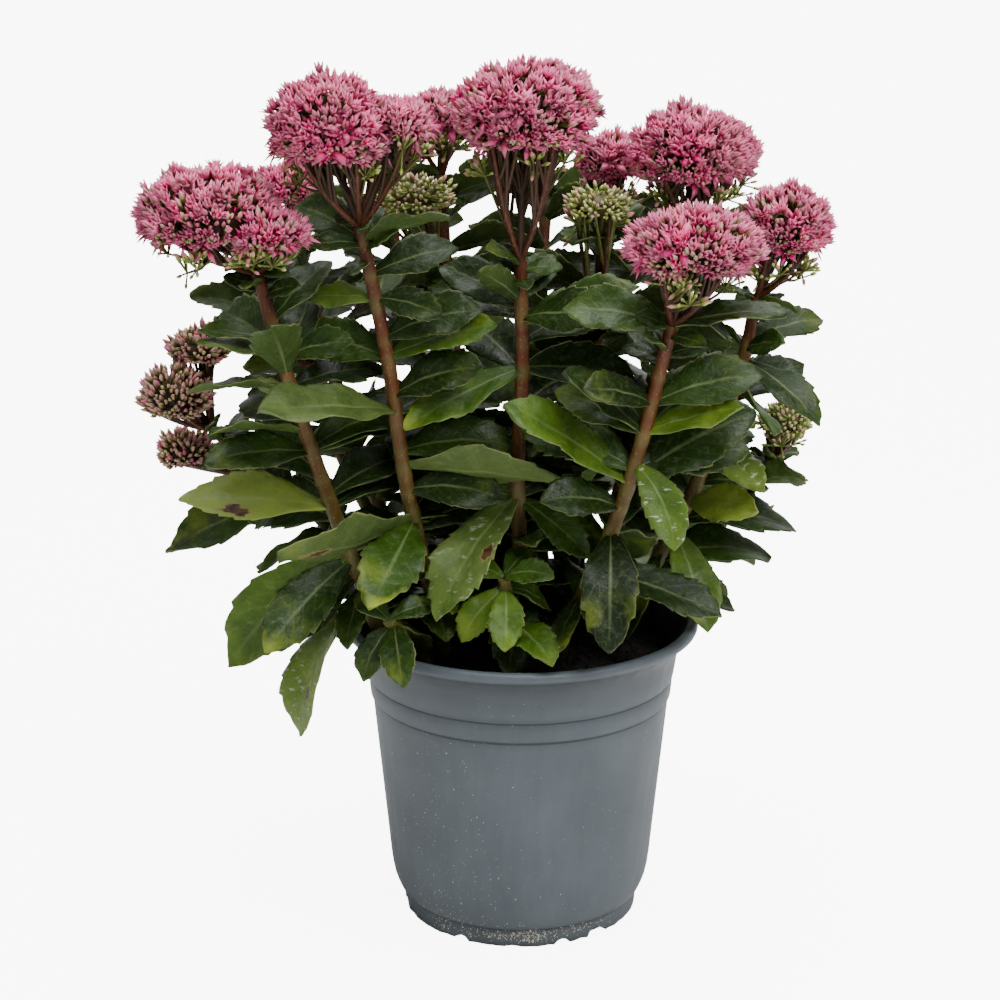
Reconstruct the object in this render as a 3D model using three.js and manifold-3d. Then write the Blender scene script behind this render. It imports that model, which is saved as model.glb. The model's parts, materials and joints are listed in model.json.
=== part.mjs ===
// Potted Carl sedum: a plain nursery pot of soil, leafy stonecrop stems and domed pink flower heads.
// Millimetres, +Z up, origin at the middle of the pot's base. The side that the photo shows faces -Y.
import * as THREE from 'three';
import { ConvexGeometry } from 'three/addons/geometries/ConvexGeometry.js';
import { mergeVertices } from 'three/addons/utils/BufferGeometryUtils.js';
import Module from 'manifold-3d';

const wasm = await Module();
wasm.setup();

// Driving dimensions of the pot and its soil
const rimRadius = 85;
const potHeight = 148;
const wall = 1.5;
const footRadius = 57;
const footHeight = 10;
const bodyTopRadius = 71.5;
const bodyTopHeight = 110;
const collarRadius = 76;
const collarHeight = 134;
const ringHeight = 120;
const heel = { radius: 63.8, height: 28, roundRadius: 62.2, roundHeight: 18 };
const lipHeight = 5;
const potSides = 24;
const drainNotches = 9;
const notchRadius = 4.2;
const notchVariation = 1.2;
const soilHeight = 132;
const gap = 0.3;

// Driving dimensions of the plant
const stemFootRadius = 4.3;
const stemTopRadius = 3.2;
const stemSides = 5;
const stemFootHeight = 106;
const soilExitHeight = 143;
const branchRadius = 1.9;
const branchSpread = 0.58;
const largeDomeWidth = 22;
const leafWidthShare = 0.24;
const shownLeafWidthShare = 0.2;
const lowestPartnerRise = 0;
const leastPartnerDroop = 24;
const leafThickness = 2.2;
const leafFold = 0.18;
const leafRoll = 50;
const clumpMiddle = 10;
const frontBackPull = 3;
const leafSweep = 0.12;
const leafSpacing = 44;
const lowestLeafHeight = 164;
const droopedLeafHeight = 150;
const leafClearance = 6;
const leafFootClearance = 5;
const sampleRows = 14;
const sampleColumns = 3;
const sampledWidthShare = 1.1;
const footRows = 4;
const ownLeafShare = 0.7;
const soilRoom = 6;
const rimRoom = 4;
const openSoilRadius = 66;
const lowestLeafPoint = 60;
const stemClearance = 6.5;
const headClearance = 5;
const floretsPerArea = 0.047;
const floretTip = 1.03;
const floretValley = 0.77;
const domeLobes = 6;
const lobeWidth = 0.4;
const seed = 1907;

const colours = {
  pot: 0x5f666b,
  soil: 0x1d1815,
  leaf: 0x56733f,
  shoot: 0x6b8a45,
  pink: 0xcf5f93,
  dusty: 0xb98a86,
  buds: 0x8a9a5a,
};

// Each stem: its path from inside the soil to the fork below its head, then its leaves that the photo shows.
// A leaf is [height of its node, bearing, length, rise, droop towards its tip, roll about its own length].
const stems = {
  a: {
    path: [[-58, -14, 106], [-66, -22, 143], [-88, -42, 219], [-104, -49, 275], [-116, -50, 322]],
    leaves: [[284, 191, 38, 18, 8, -12], [276, 76, 50, 50, 14, -15], [265, 132, 30, 8, 8, 60],
      [240, 202, 50, 12, 25, -44], [213, 182, 70, 9, 12, -32], [190, 184, 80, -30, 28, -56],
      [164, 222, 76, -16, 80, 10]],
  },
  b: {
    path: [[-34, -6, 106], [-38, -14, 143], [-52, -36, 219], [-60, -44, 283], [-71, -47, 342]],
    leaves: [[336, 330, 46, 26, 20, -20], [310, 160, 34, 2, 10, -45], [283, 355, 52, 26, 16, 36],
      [258, 215, 76, 15, 12, -24], [232, 344, 74, 3, 10, -43], [206, 219, 86, -10, -22, 44],
      [204, 258, 68, -12, 14, -18]],
  },
  c: {
    path: [[2, -8, 106], [2, -14, 143], [-2, -30, 219], [0, -34, 273], [-1, -35, 325]],
    leaves: [[297, 357, 55, 22, 8, 38], [299, 158, 52, 17, 15, -31], [307, 228, 34, 42, 24, 50],
      [276, 206, 62, -14, 14, -27], [215, 226, 73, -26, 28, -10], [214, 5, 46, -34, 16, 50]],
  },
  g: {
    path: [[44, 8, 106], [52, 8, 143], [82, 6, 208], [102, 5, 265], [109, 5, 301]],
    leaves: [[277, 295, 34, 22, 14, 60], [271, 318, 50, -14, 32, 16], [258, 108, 46, -10, 36, -20],
      [226, 295, 46, 8, 34, 24], [202, 305, 48, 14, 12, 60], [188, 289, 56, -28, 36, 6]],
  },
  h: {
    path: [[16, -12, 106], [20, -22, 143], [38, -50, 198], [51, -60, 243], [64, -70, 303]],
    leaves: [[229, 184, 68, 40, 12, -32], [253, 196, 48, 44, 10, -40], [253, 344, 46, 24, 12, 36],
      [238, 306, 46, -18, 60, 34], [183, 343, 62, -6, 20, 24], [158, 246, 38, -6, 16, 24],
      [204, 268, 64, -14, 56, 10], [302, 350, 50, 20, 24, 18]],
  },
  d: { path: [[-14, 22, 106], [-16, 26, 143], [-28, 38, 230], [-36, 46, 310], [-38, 48, 352]], leaves: [] },
  e: { path: [[22, 24, 106], [24, 28, 143], [32, 38, 220], [38, 46, 290], [41, 51, 330]], leaves: [] },
  f: { path: [[30, 14, 106], [36, 16, 143], [56, 15, 225], [70, 13, 290], [78, 12, 334]], leaves: [] },
  i: {
    path: [[-56, 14, 106], [-64, 16, 143], [-94, 21, 186], [-128, 25, 216], [-148, 21, 234]],
    leaves: [[204, 196, 66, -30, -12, -14]],
    leafShare: 0.8,
  },
  k: { path: [[-42, 22, 106], [-50, 26, 143], [-78, 28, 220], [-98, 24, 290], [-106, 21, 322]], leaves: [] },
  l: { path: [[-30, 44, 106], [-32, 48, 143], [-46, 74, 220], [-60, 98, 290], [-66, 106, 330]], leaves: [] },
  m: { path: [[4, 50, 106], [5, 54, 143], [8, 80, 220], [12, 112, 300], [14, 124, 342]], leaves: [] },
  n: { path: [[34, 44, 106], [38, 48, 143], [58, 70, 220], [80, 94, 280], [93, 104, 322]], leaves: [] },
  o: { path: [[-50, 36, 106], [-56, 42, 143], [-84, 60, 200], [-112, 76, 256], [-124, 84, 288]], leaves: [] },
  r: {
    path: [[54, 26, 106], [62, 28, 143], [92, 34, 176], [114, 36, 202], [122, 34, 216]],
    leaves: [],
    leafShare: 0.7,
  },
};

// Short basal shoots: [x and y of the foot, x, y and height of the tip, number of leaves, leaf length].
const shoots = [
  [[-5, -42], [-8, -55, 184], 7, 34],
  [[-46, -34], [-60, -62, 166], 5, 34],
  [[18, 60], [26, 76, 176], 5, 36],
];

// Flower heads: domes are [x, y, height of the widest level, half width, half depth, rise above, drop below].
// from is the height on the stem where the head's branches leave it; without it they leave from the top.
const heads = [
  {
    name: 'head_a',
    stem: 'a',
    colour: 'pink',
    domes: [[-136, -50, 343, 35, 29, 28, 15], [-110, -64, 340, 21, 17, 13, 10]],
  },
  {
    name: 'head_b',
    stem: 'b',
    colour: 'pink',
    domes: [[-83, -52, 380, 29, 26, 29, 15], [-54, -46, 384, 17, 16, 15, 9]],
  },
  { name: 'head_c', stem: 'c', colour: 'pink', domes: [[0, -35, 384, 33, 30, 29, 17]] },
  { name: 'head_d', stem: 'd', colour: 'pink', domes: [[-38, 48, 378, 21, 20, 15, 10]] },
  { name: 'head_e', stem: 'e', colour: 'pink', domes: [[42, 54, 356, 18, 18, 18, 11]] },
  { name: 'head_f', stem: 'f', colour: 'pink', domes: [[77, 12, 364, 30, 27, 26, 18]] },
  { name: 'head_g', stem: 'g', colour: 'pink', domes: [[122, 4, 331, 23, 22, 24, 15]] },
  { name: 'head_h', stem: 'h', colour: 'pink', domes: [[72, -75, 334, 32, 27, 22, 13]] },
  {
    name: 'head_i',
    stem: 'i',
    colour: 'dusty',
    domes: [[-163, 10, 250, 19, 17, 20, 12], [-153, 20, 272, 16, 15, 13, 9]],
  },
  { name: 'head_i_low', stem: 'i', colour: 'dusty', from: 208, domes: [[-163, 34, 218, 15, 14, 14, 9]] },
  { name: 'head_k', stem: 'k', colour: 'pink', domes: [[-108, 20, 348, 20, 19, 15, 10]] },
  { name: 'head_l', stem: 'l', colour: 'pink', domes: [[-67, 108, 360, 29, 27, 24, 14]] },
  { name: 'head_m', stem: 'm', colour: 'pink', domes: [[14, 127, 374, 30, 28, 26, 15]] },
  { name: 'head_n', stem: 'n', colour: 'pink', domes: [[96, 106, 352, 27, 26, 23, 14]] },
  { name: 'head_o', stem: 'o', colour: 'pink', domes: [[-128, 86, 314, 22, 21, 19, 12]] },
  { name: 'buds_d', stem: 'd', colour: 'buds', from: 305, domes: [[-49, 6, 346, 20, 14, 12, 8]] },
  { name: 'buds_e', stem: 'e', colour: 'buds', from: 285, domes: [[35, 8, 342, 17, 14, 11, 8]] },
  { name: 'buds_k', stem: 'k', colour: 'dusty', from: 262, domes: [[-122, -8, 288, 12, 11, 8, 6]] },
  { name: 'buds_r', stem: 'r', colour: 'buds', domes: [[128, 32, 234, 15, 13, 12, 8]] },
];

// Seeded draws

function makeRandom(start) {
  let state = start;
  return () => {
    state = (state * 1664525 + 1013904223) % 4294967296;
    return state / 4294967296;
  };
}

// Solids

function toSolid(geometry) {
  geometry.deleteAttribute('normal');
  geometry.deleteAttribute('uv');
  const welded = mergeVertices(geometry, 1e-4);
  return new wasm.Manifold(new wasm.Mesh({
    numProp: 3,
    vertProperties: new Float32Array(welded.attributes.position.array),
    triVerts: new Uint32Array(welded.index.array),
  }));
}

function toMesh(name, solid, colour, roughness) {
  const result = solid.getMesh();
  const geometry = new THREE.BufferGeometry();
  geometry.setAttribute('position', new THREE.BufferAttribute(new Float32Array(result.vertProperties), 3));
  geometry.setIndex(new THREE.BufferAttribute(new Uint32Array(result.triVerts), 1));
  const mesh = new THREE.Mesh(geometry, new THREE.MeshStandardMaterial({ color: colour, roughness }));
  mesh.name = name;
  return mesh;
}

function join(solids) {
  return wasm.Manifold.union(solids);
}

function largestPiece(solid) {
  return solid.decompose().sort((one, other) => other.volume() - one.volume())[0];
}

// Drops the slivers that joins leave, keeping the surface within the tolerance.
function lighten(solid, tolerance) {
  return solid.asOriginal().simplify(tolerance);
}

function lathe(profile, sides) {
  const geometry = new THREE.LatheGeometry(profile.map(([radius, z]) => new THREE.Vector2(radius, z)), sides);
  return geometry.rotateX(Math.PI / 2);
}

// A round bar that tapers along a curve. side is a direction that the bar never runs along.
function bentBar(curve, startRadius, endRadius, sides, steps, side) {
  const geometry = new THREE.CylinderGeometry(endRadius, startRadius, 1, sides, steps);
  const position = geometry.attributes.position;
  for (let index = 0; index < position.count; index += 1) {
    const t = Math.min(Math.max(position.getY(index) + 0.5, 0), 1);
    const tangent = curve.getTangent(t);
    const across = new THREE.Vector3().crossVectors(side, tangent).normalize();
    const over = new THREE.Vector3().crossVectors(across, tangent);
    const point = curve.getPoint(t)
      .addScaledVector(across, position.getX(index))
      .addScaledVector(over, position.getZ(index));
    position.setXYZ(index, point.x, point.y, point.z);
  }
  return toSolid(geometry);
}

// Pot

function makePot() {
  const outside = [
    [0, 0], [footRadius, 0], [footRadius + 0.5, footHeight], [footRadius + 2.5, footHeight + 1],
    [heel.roundRadius, heel.roundHeight], [heel.radius, heel.height],
    [bodyTopRadius, bodyTopHeight - 2], [bodyTopRadius + 1.1, bodyTopHeight + 1],
    [bodyTopRadius + 1.8, ringHeight], [collarRadius, collarHeight], [rimRadius - 2, potHeight - lipHeight],
    [rimRadius, potHeight - lipHeight + 1], [rimRadius - 0.5, potHeight - 1], [rimRadius - 2, potHeight],
  ];
  const inside = [
    [rimRadius - 5, potHeight - 0.5], [collarRadius - wall, collarHeight],
    [bodyTopRadius - wall, bodyTopHeight],
    [heel.radius - wall, heel.height], [footRadius - wall, footHeight],
    [footRadius - 2 * wall, wall], [0, wall],
  ];
  const body = toSolid(lathe([...outside, ...inside], potSides));
  const notches = [];
  for (let index = 0; index < drainNotches; index += 1) {
    const turn = ((index + 0.3 * Math.sin(index * 2.1)) / drainNotches) * 2 * Math.PI;
    const radius = notchRadius + notchVariation * Math.sin(index * 1.7);
    const geometry = new THREE.CylinderGeometry(radius, radius, 14, 6);
    geometry.rotateZ(Math.PI / 2).translate(footRadius - 3, 0, 0).rotateZ(turn);
    notches.push(toSolid(geometry));
  }
  return lighten(body.subtract(join(notches)), 0.1);
}

// Soil

// The soil follows the pot's inside with a small gap, and its top is gently uneven.
function makeSoil(holes) {
  const side = [
    [0, wall + gap], [footRadius - 2 * wall - 0.4, wall + gap], [footRadius - wall - 0.5, footHeight],
    [heel.radius - wall - 0.5, heel.height + gap], [bodyTopRadius - wall - 0.5, bodyTopHeight],
    [collarRadius - wall - 1, soilHeight - 2],
  ];
  const top = [[58, soilHeight], [40, soilHeight + 1], [20, soilHeight], [0, soilHeight + 1]];
  const geometry = lathe([...side, ...top], potSides / 2);
  const position = geometry.attributes.position;
  for (let index = 0; index < position.count; index += 1) {
    const x = position.getX(index);
    const y = position.getY(index);
    if (position.getZ(index) >= soilHeight - 1) {
      position.setZ(index, position.getZ(index) + 1.3 * Math.sin(0.13 * x + 1) * Math.cos(0.11 * y));
    }
  }
  return lighten(toSolid(geometry).subtract(join(holes)), 0.1);
}

// Stems and branches

function curveOf(path) {
  const points = path.map((point) => new THREE.Vector3(...point));
  return new THREE.CatmullRomCurve3(points, false, 'catmullrom', 0.5);
}

function shareAtHeight(curve, height) {
  let low = 0;
  let high = 1;
  for (let round = 0; round < 30; round += 1) {
    const middle = (low + high) / 2;
    if (curve.getPoint(middle).z < height) low = middle;
    else high = middle;
  }
  return low;
}

function makeStemBar(curve) {
  return bentBar(curve, stemFootRadius, stemTopRadius, stemSides, 4, new THREE.Vector3(0, 1, 0));
}

// A plain straight hole around the buried end of a stem, open at the top of the soil.
function makeHole(curve) {
  const low = curve.getPoint(0).addScaledVector(curve.getTangent(0), -gap * 2);
  const far = curve.getPoint(shareAtHeight(curve, soilHeight + 8));
  const radius = stemFootRadius + 4 * gap;
  return bentBar(new THREE.LineCurve3(low, far), radius, radius, stemSides, 1, new THREE.Vector3(0, 1, 0));
}

// Branches fan out from the fork to a ring inside the underside of each dome.
function branchCurves(fork, dome) {
  const [x, y, z, wide, deep, , drop] = dome;
  const count = wide > largeDomeWidth ? 4 : 3;
  const curves = [];
  for (let index = 0; index < count; index += 1) {
    const turn = ((index + 0.5) / count) * 2 * Math.PI;
    const end = new THREE.Vector3(
      x + branchSpread * wide * Math.cos(turn), y + branchSpread * deep * Math.sin(turn), z - 0.35 * drop);
    const bend = new THREE.Vector3(
      fork.x * 0.45 + end.x * 0.55, fork.y * 0.45 + end.y * 0.55, fork.z * 0.7 + end.z * 0.3);
    curves.push(new THREE.QuadraticBezierCurve3(fork, bend, end));
  }
  return curves;
}

function makeBranch(curve) {
  const run = curve.getPoint(1).sub(curve.getPoint(0));
  const side = new THREE.Vector3(-run.y, run.x, 0).normalize();
  return bentBar(curve, branchRadius * 1.2, branchRadius, 3, run.length() > 24 ? 2 : 1, side);
}

// Leaves

function leafWidth(leaf, s) {
  const round = Math.sin(Math.PI * s ** 1.3);
  const share = leaf.shown ? shownLeafWidthShare : leafWidthShare;
  return leaf.length * share * (0.13 * (1 - s) + 0.95 * Math.max(round, 0) ** 0.8);
}

// A point on the middle surface: s runs from base to tip, across from -1 to 1 between the margins.
function leafPoint(leaf, s, across, lift) {
  const bearing = (leaf.bearing * Math.PI) / 180;
  const rise = (leaf.rise * Math.PI) / 180;
  const droop = (leaf.droop * Math.PI) / 180;
  const angle = rise - droop * s;
  const outward = (leaf.length * (Math.sin(rise) - Math.sin(angle))) / droop;
  const upward = (leaf.length * (Math.cos(angle) - Math.cos(rise))) / droop;
  const roll = (leaf.roll * Math.PI) / 180;
  const flat = across * leafWidth(leaf, s);
  const raised = leafFold * Math.abs(flat) + lift;
  const sideways = flat * Math.cos(roll) - raised * Math.sin(roll) + leaf.sweep * leaf.length * s * s;
  const height = flat * Math.sin(roll) + raised * Math.cos(roll);
  return new THREE.Vector3(
    leaf.base.x + outward * Math.cos(bearing) - sideways * Math.sin(bearing)
      - height * Math.sin(angle) * Math.cos(bearing),
    leaf.base.y + outward * Math.sin(bearing) + sideways * Math.cos(bearing)
      - height * Math.sin(angle) * Math.sin(bearing),
    leaf.base.z + upward + height * Math.cos(angle),
  );
}

// Margin stations from base to tip: [s, share of the width]. Teeth point forward, with a notch before each.
function marginStations(teeth) {
  const stations = [[0, 1], [0.3, 1]];
  for (let tooth = 0; tooth < teeth; tooth += 1) {
    const s = 0.3 + (0.62 * (tooth + 0.75)) / teeth;
    stations.push([s, 1.13], [s + 0.04, 0.88]);
  }
  return stations;
}

// Both faces are split alike: strips run from the margin to a few points along the midrib.
function makeLeaf(leaf) {
  const stations = marginStations(leaf.shown ? 3 : 2);
  const ribStations = [0, 0.36, 0.7];
  const positions = [];
  const addPoint = (s, across, lift) => {
    positions.push(...leafPoint(leaf, s, across, lift).toArray());
    return positions.length / 3 - 1;
  };
  const ribLift = (s) => (leafThickness / 2) * (1 - 0.35 * s);
  const top = ribStations.map((s) => addPoint(s, 0, ribLift(s)));
  const under = ribStations.map((s) => addPoint(s, 0, -ribLift(s)));
  const tip = addPoint(1, 0, 0);
  const index = [];
  for (const hand of [1, -1]) {
    const margin = stations.map(([s, share]) => addPoint(s, hand * share, 0));
    const outer = [...stations.map(([s], order) => [s, margin[order]]), [1, tip]];
    const strips = [];
    let rib = 0;
    for (let step = 1; step < outer.length; step += 1) {
      strips.push([rib, outer[step - 1][1], outer[step][1]]);
      if (rib + 1 < ribStations.length && ribStations[rib + 1] <= outer[step][0] + 0.01) {
        strips.push([rib, outer[step][1], rib + 1, true]);
        rib += 1;
      }
    }
    for (const [from, second, third, alongRib] of strips) {
      const upper = alongRib ? [top[from], second, top[third]] : [top[from], second, third];
      const lower = alongRib ? [under[from], under[third], second] : [under[from], third, second];
      if (hand > 0) upper.reverse();
      if (hand > 0) lower.reverse();
      index.push(...upper, ...lower);
    }
    index.push(...(hand > 0 ? [top[0], margin[0], under[0]] : [top[0], under[0], margin[0]]));
  }
  const geometry = new THREE.BufferGeometry();
  geometry.setAttribute('position', new THREE.Float32BufferAttribute(positions, 3));
  geometry.setIndex(index);
  return toSolid(geometry);
}

// Room for each leaf: points along stems and branches, on leaves already placed, and the domes of the heads.
const taken = [];

function takeRoom(point, owner, room) {
  taken.push({ point, owner, room });
}

function leafSamples(leaf) {
  const samples = [];
  for (let row = 2; row <= sampleRows; row += 1) {
    for (let column = -sampleColumns; column <= sampleColumns; column += 1) {
      samples.push(leafPoint(leaf, row / sampleRows, (sampledWidthShare * column) / sampleColumns, 0));
    }
  }
  return samples;
}

function isClear(samples, owner) {
  for (const sample of samples) {
    const radius = Math.hypot(sample.x, sample.y);
    const floor = radius < rimRadius + rimRoom ? potHeight + rimRoom : lowestLeafPoint;
    if (sample.z < (radius < openSoilRadius ? soilHeight + soilRoom : floor)) return false;
    for (const { domes } of heads) {
      for (const [x, y, z, wide, deep, rise, drop] of domes) {
        const up = sample.z > z ? rise : drop;
        const size = Math.hypot(
          (sample.x - x) / (wide + headClearance), (sample.y - y) / (deep + headClearance),
          (sample.z - z) / (up + headClearance));
        if (size < 1) return false;
      }
    }
    for (const { point, owner: other, room } of taken) {
      if (other === owner && room !== leafClearance) continue;
      const reach = other === owner ? leafClearance * ownLeafShare : room;
      if (sample.distanceToSquared(point) < reach * reach) return false;
    }
  }
  return true;
}

// What a leaf tries until it is clear: [turn, tilt, share of its length].
const trials = [
  [0, 0, 1], [10, 0, 1], [-10, 0, 1], [0, 10, 1], [0, -10, 1], [20, 8, 0.95], [-20, 8, 0.95], [20, -8, 0.95],
  [-20, -8, 0.95], [34, 0, 0.9], [-34, 0, 0.9], [0, 20, 0.9], [0, -20, 0.9], [0, 0, 0.75], [28, 0, 0.75],
  [-28, 0, 0.75], [48, 8, 0.75], [-48, 8, 0.75],
];

// Blades turn their upper face out from the middle of the clump, and more to the front or back than to the sides.
function rollOutward(base, bearing) {
  const turn = (bearing * Math.PI) / 180;
  const outward = new THREE.Vector3(base.x, (base.y - clumpMiddle) * frontBackPull, 0).normalize();
  return -leafRoll * (outward.y * Math.cos(turn) - outward.x * Math.sin(turn));
}

function placeLeaf(wanted, owner) {
  for (const [turn, tilt, share] of trials) {
    const bearing = wanted.bearing + turn;
    const leaf = {
      ...wanted,
      bearing,
      rise: wanted.rise + tilt,
      length: wanted.length * share,
      roll: wanted.roll ?? rollOutward(wanted.base, bearing),
    };
    const samples = leafSamples(leaf);
    if (isClear(samples, owner)) {
      const footSamples = footRows * (2 * sampleColumns + 1);
      samples.slice(0, footSamples).forEach((sample) => takeRoom(sample, owner, leafFootClearance));
      samples.slice(footSamples).forEach((sample) => takeRoom(sample, owner, leafClearance));
      return leaf;
    }
  }
  return null;
}

function addLeaf(plant, wanted) {
  const leaf = placeLeaf(wanted, plant.name);
  if (leaf) plant.leaves.push(leaf);
}

// Plant layout: all bars first, then the leaves that the photo shows, then their partners, then the rest.
function makeBars() {
  const plants = [];
  for (const [name, { path, leaves, leafShare = 1 }] of Object.entries(stems)) {
    const curve = curveOf(path);
    const branches = heads.filter((head) => head.stem === name).flatMap((head) => {
      const fork = head.from ? curve.getPoint(shareAtHeight(curve, head.from)) : curve.getPoint(1);
      return head.domes.flatMap((dome) => branchCurves(fork, dome));
    });
    const top = path[path.length - 1][2];
    plants.push({ name, curve, branches, shown: leaves, leafShare, leaves: [], top });
  }
  for (const [index, [[x, y], tip, count, length]] of shoots.entries()) {
    const curve = curveOf([[x, y, stemFootHeight], [x, y, soilExitHeight], tip]);
    plants.push({ name: `shoot_${index + 1}`, curve, branches: [], shoot: { count, length }, leaves: [] });
  }
  for (const plant of plants) {
    for (let step = 4; step <= 40; step += 1) {
      takeRoom(plant.curve.getPoint(step / 40), plant.name, stemClearance);
    }
    for (const branch of plant.branches) {
      for (let step = 1; step <= 10; step += 1) {
        takeRoom(branch.getPoint(step / 10), plant.name, stemClearance - 2);
      }
    }
  }
  return plants;
}

function layOutPlant() {
  const random = makeRandom(seed);
  const plants = makeBars();
  const wantedAt = (plant, share, bearing, length, rise, droop) => (
    { base: plant.curve.getPoint(share), bearing, length, rise, droop, sweep: leafSweep * (random() - 0.5) });
  const atHeight = (plant, height, ...rest) => wantedAt(plant, shareAtHeight(plant.curve, height), ...rest);
  for (const plant of plants.filter(({ shown }) => shown)) {
    for (const [height, bearing, length, rise, droop, roll] of plant.shown) {
      addLeaf(plant, { ...atHeight(plant, height, bearing, length, rise, droop), roll, shown: true });
    }
  }
  for (const plant of plants.filter(({ shoot }) => shoot)) {
    const { count, length } = plant.shoot;
    for (let order = 0; order < count; order += 1) {
      const inner = order % 2;
      const bearing = 270 + (order * 360) / count + 10 * random();
      const share = 0.93 + 0.07 * inner;
      addLeaf(plant, wantedAt(plant, share, bearing, length * (1 - 0.2 * inner), -20 + 50 * inner, 40));
    }
  }
  for (const plant of plants.filter(({ shown }) => shown)) {
    for (const [height, bearing, length, rise, droop] of plant.shown) {
      const partnerRise = Math.max(rise, lowestPartnerRise);
      const partnerDroop = Math.max(droop, leastPartnerDroop);
      addLeaf(plant, atHeight(plant, height, bearing + 180, length * 0.96, partnerRise, partnerDroop));
    }
    if (plant.shown.length > 1) continue;
    const start = 360 * random();
    let turn = 0;
    for (let height = plant.top - 12; height > lowestLeafHeight; height -= leafSpacing) {
      const low = (plant.top - height) / (plant.top - droopedLeafHeight);
      for (const half of [0, 180]) {
        const bearing = start + turn + half + 24 * (random() - 0.5);
        const length = plant.leafShare * (42 + 32 * low ** 0.6 + 6 * (random() - 0.5));
        addLeaf(plant, atHeight(plant, height, bearing, length, 34 - 30 * low, 24 + 18 * low));
      }
      turn += 90;
    }
  }
  return plants;
}

// Flower heads: a lobed dome with a pointed floret at each of many even points and a valley between them.

function domeShare(direction, phase) {
  const lobes = [new THREE.Vector3(0, 0, 1)];
  for (let index = 0; index < domeLobes; index += 1) {
    const turn = phase + (index / domeLobes) * 2 * Math.PI;
    lobes.push(new THREE.Vector3(0.77 * Math.cos(turn), 0.77 * Math.sin(turn), 0.64));
  }
  const nearest = Math.min(...lobes.map((lobe) => direction.angleTo(lobe)));
  return 0.93 + 0.09 * Math.exp(-((nearest / lobeWidth) ** 2));
}

function domeRelief(dome, order, hullOnly) {
  const [x, y, z, wide, deep, rise, drop] = dome;
  const florets = Math.round(14 + floretsPerArea * wide * deep);
  const grow = 1 + (hullOnly ? 0.5 / drop : 0);
  const goldenTurn = Math.PI * (3 - Math.sqrt(5));
  const tips = [];
  for (let index = 0; index < florets; index += 1) {
    const height = 1 - (2 * index + 1) / florets;
    const radius = Math.sqrt(1 - height * height);
    const turn = index * goldenTurn + order;
    tips.push(new THREE.Vector3(radius * Math.cos(turn), radius * Math.sin(turn), height));
  }
  const onDome = (direction, share) => {
    const scale = domeShare(direction, order) * share * grow;
    return new THREE.Vector3(
      x + wide * scale * direction.x, y + deep * scale * direction.y,
      z + (direction.z > 0 ? rise : drop) * scale * direction.z);
  };
  if (hullOnly) return toSolid(new ConvexGeometry(tips.map((tip) => onDome(tip, floretTip))));
  const hull = new ConvexGeometry(tips).attributes.position;
  const positions = [];
  for (let face = 0; face < hull.count; face += 3) {
    const corners = [0, 1, 2].map((corner) => new THREE.Vector3().fromBufferAttribute(hull, face + corner));
    const middle = corners[0].clone().add(corners[1]).add(corners[2]).normalize();
    const valley = onDome(middle, floretValley);
    for (let corner = 0; corner < 3; corner += 1) {
      const ends = [onDome(corners[corner], floretTip), onDome(corners[(corner + 1) % 3], floretTip), valley];
      ends.forEach((end) => positions.push(...end.toArray()));
    }
  }
  const geometry = new THREE.BufferGeometry();
  geometry.setAttribute('position', new THREE.Float32BufferAttribute(positions, 3));
  return toSolid(geometry);
}

function makeHead(head, order, hullOnly) {
  const domes = head.domes.map((dome, index) => domeRelief(dome, order + 0.7 * index, hullOnly));
  return largestPiece(lighten(join(domes), domes.length > 1 ? 0.35 : 0.1));
}

// The whole plant in its pot
const group = new THREE.Group();
const plants = layOutPlant();
group.add(toMesh('pot', makePot(), colours.pot, 0.55));
group.add(toMesh('soil', makeSoil(plants.map(({ curve }) => makeHole(curve))), colours.soil, 0.95));
heads.forEach((head, order) => {
  group.add(toMesh(head.name, makeHead(head, order, false), colours[head.colour], 0.6));
});
for (const plant of plants) {
  const own = heads.map((head, order) => ({ head, order })).filter(({ head }) => head.stem === plant.name);
  const pieces = [makeStemBar(plant.curve), ...plant.branches.map(makeBranch), ...plant.leaves.map(makeLeaf)];
  const grown = own.reduce(
    (solid, { head, order }) => solid.subtract(makeHead(head, order, true)), join(pieces));
  const name = plant.shoot ? plant.name : `stem_${plant.name}`;
  const solid = largestPiece(lighten(grown, 0.35));
  group.add(toMesh(name, solid, plant.shoot ? colours.shoot : colours.leaf, 0.6));
}

export default group;
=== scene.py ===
import json
import math

import bmesh
import bpy
import numpy as np
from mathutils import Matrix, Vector

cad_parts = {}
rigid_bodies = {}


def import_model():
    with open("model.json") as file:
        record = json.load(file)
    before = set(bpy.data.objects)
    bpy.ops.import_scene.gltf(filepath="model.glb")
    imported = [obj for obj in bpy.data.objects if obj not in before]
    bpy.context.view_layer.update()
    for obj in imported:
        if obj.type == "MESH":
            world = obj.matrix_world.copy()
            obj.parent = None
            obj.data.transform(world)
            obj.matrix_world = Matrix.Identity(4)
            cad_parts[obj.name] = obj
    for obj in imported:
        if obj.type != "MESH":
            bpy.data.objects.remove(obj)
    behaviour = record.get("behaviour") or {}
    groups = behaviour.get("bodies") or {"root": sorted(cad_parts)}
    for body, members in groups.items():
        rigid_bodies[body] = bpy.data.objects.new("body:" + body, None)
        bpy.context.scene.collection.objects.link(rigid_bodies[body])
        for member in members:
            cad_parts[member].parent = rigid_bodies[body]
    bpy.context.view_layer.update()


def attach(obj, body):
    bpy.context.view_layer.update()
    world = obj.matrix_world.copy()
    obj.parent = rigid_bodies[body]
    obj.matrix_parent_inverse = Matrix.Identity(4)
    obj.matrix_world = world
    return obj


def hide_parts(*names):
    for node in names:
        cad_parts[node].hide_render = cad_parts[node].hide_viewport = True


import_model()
scene = bpy.context.scene
mm = 0.001  # the plant is laid out in millimetres, and Blender works in metres
fullTurn = 2 * math.pi


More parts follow.
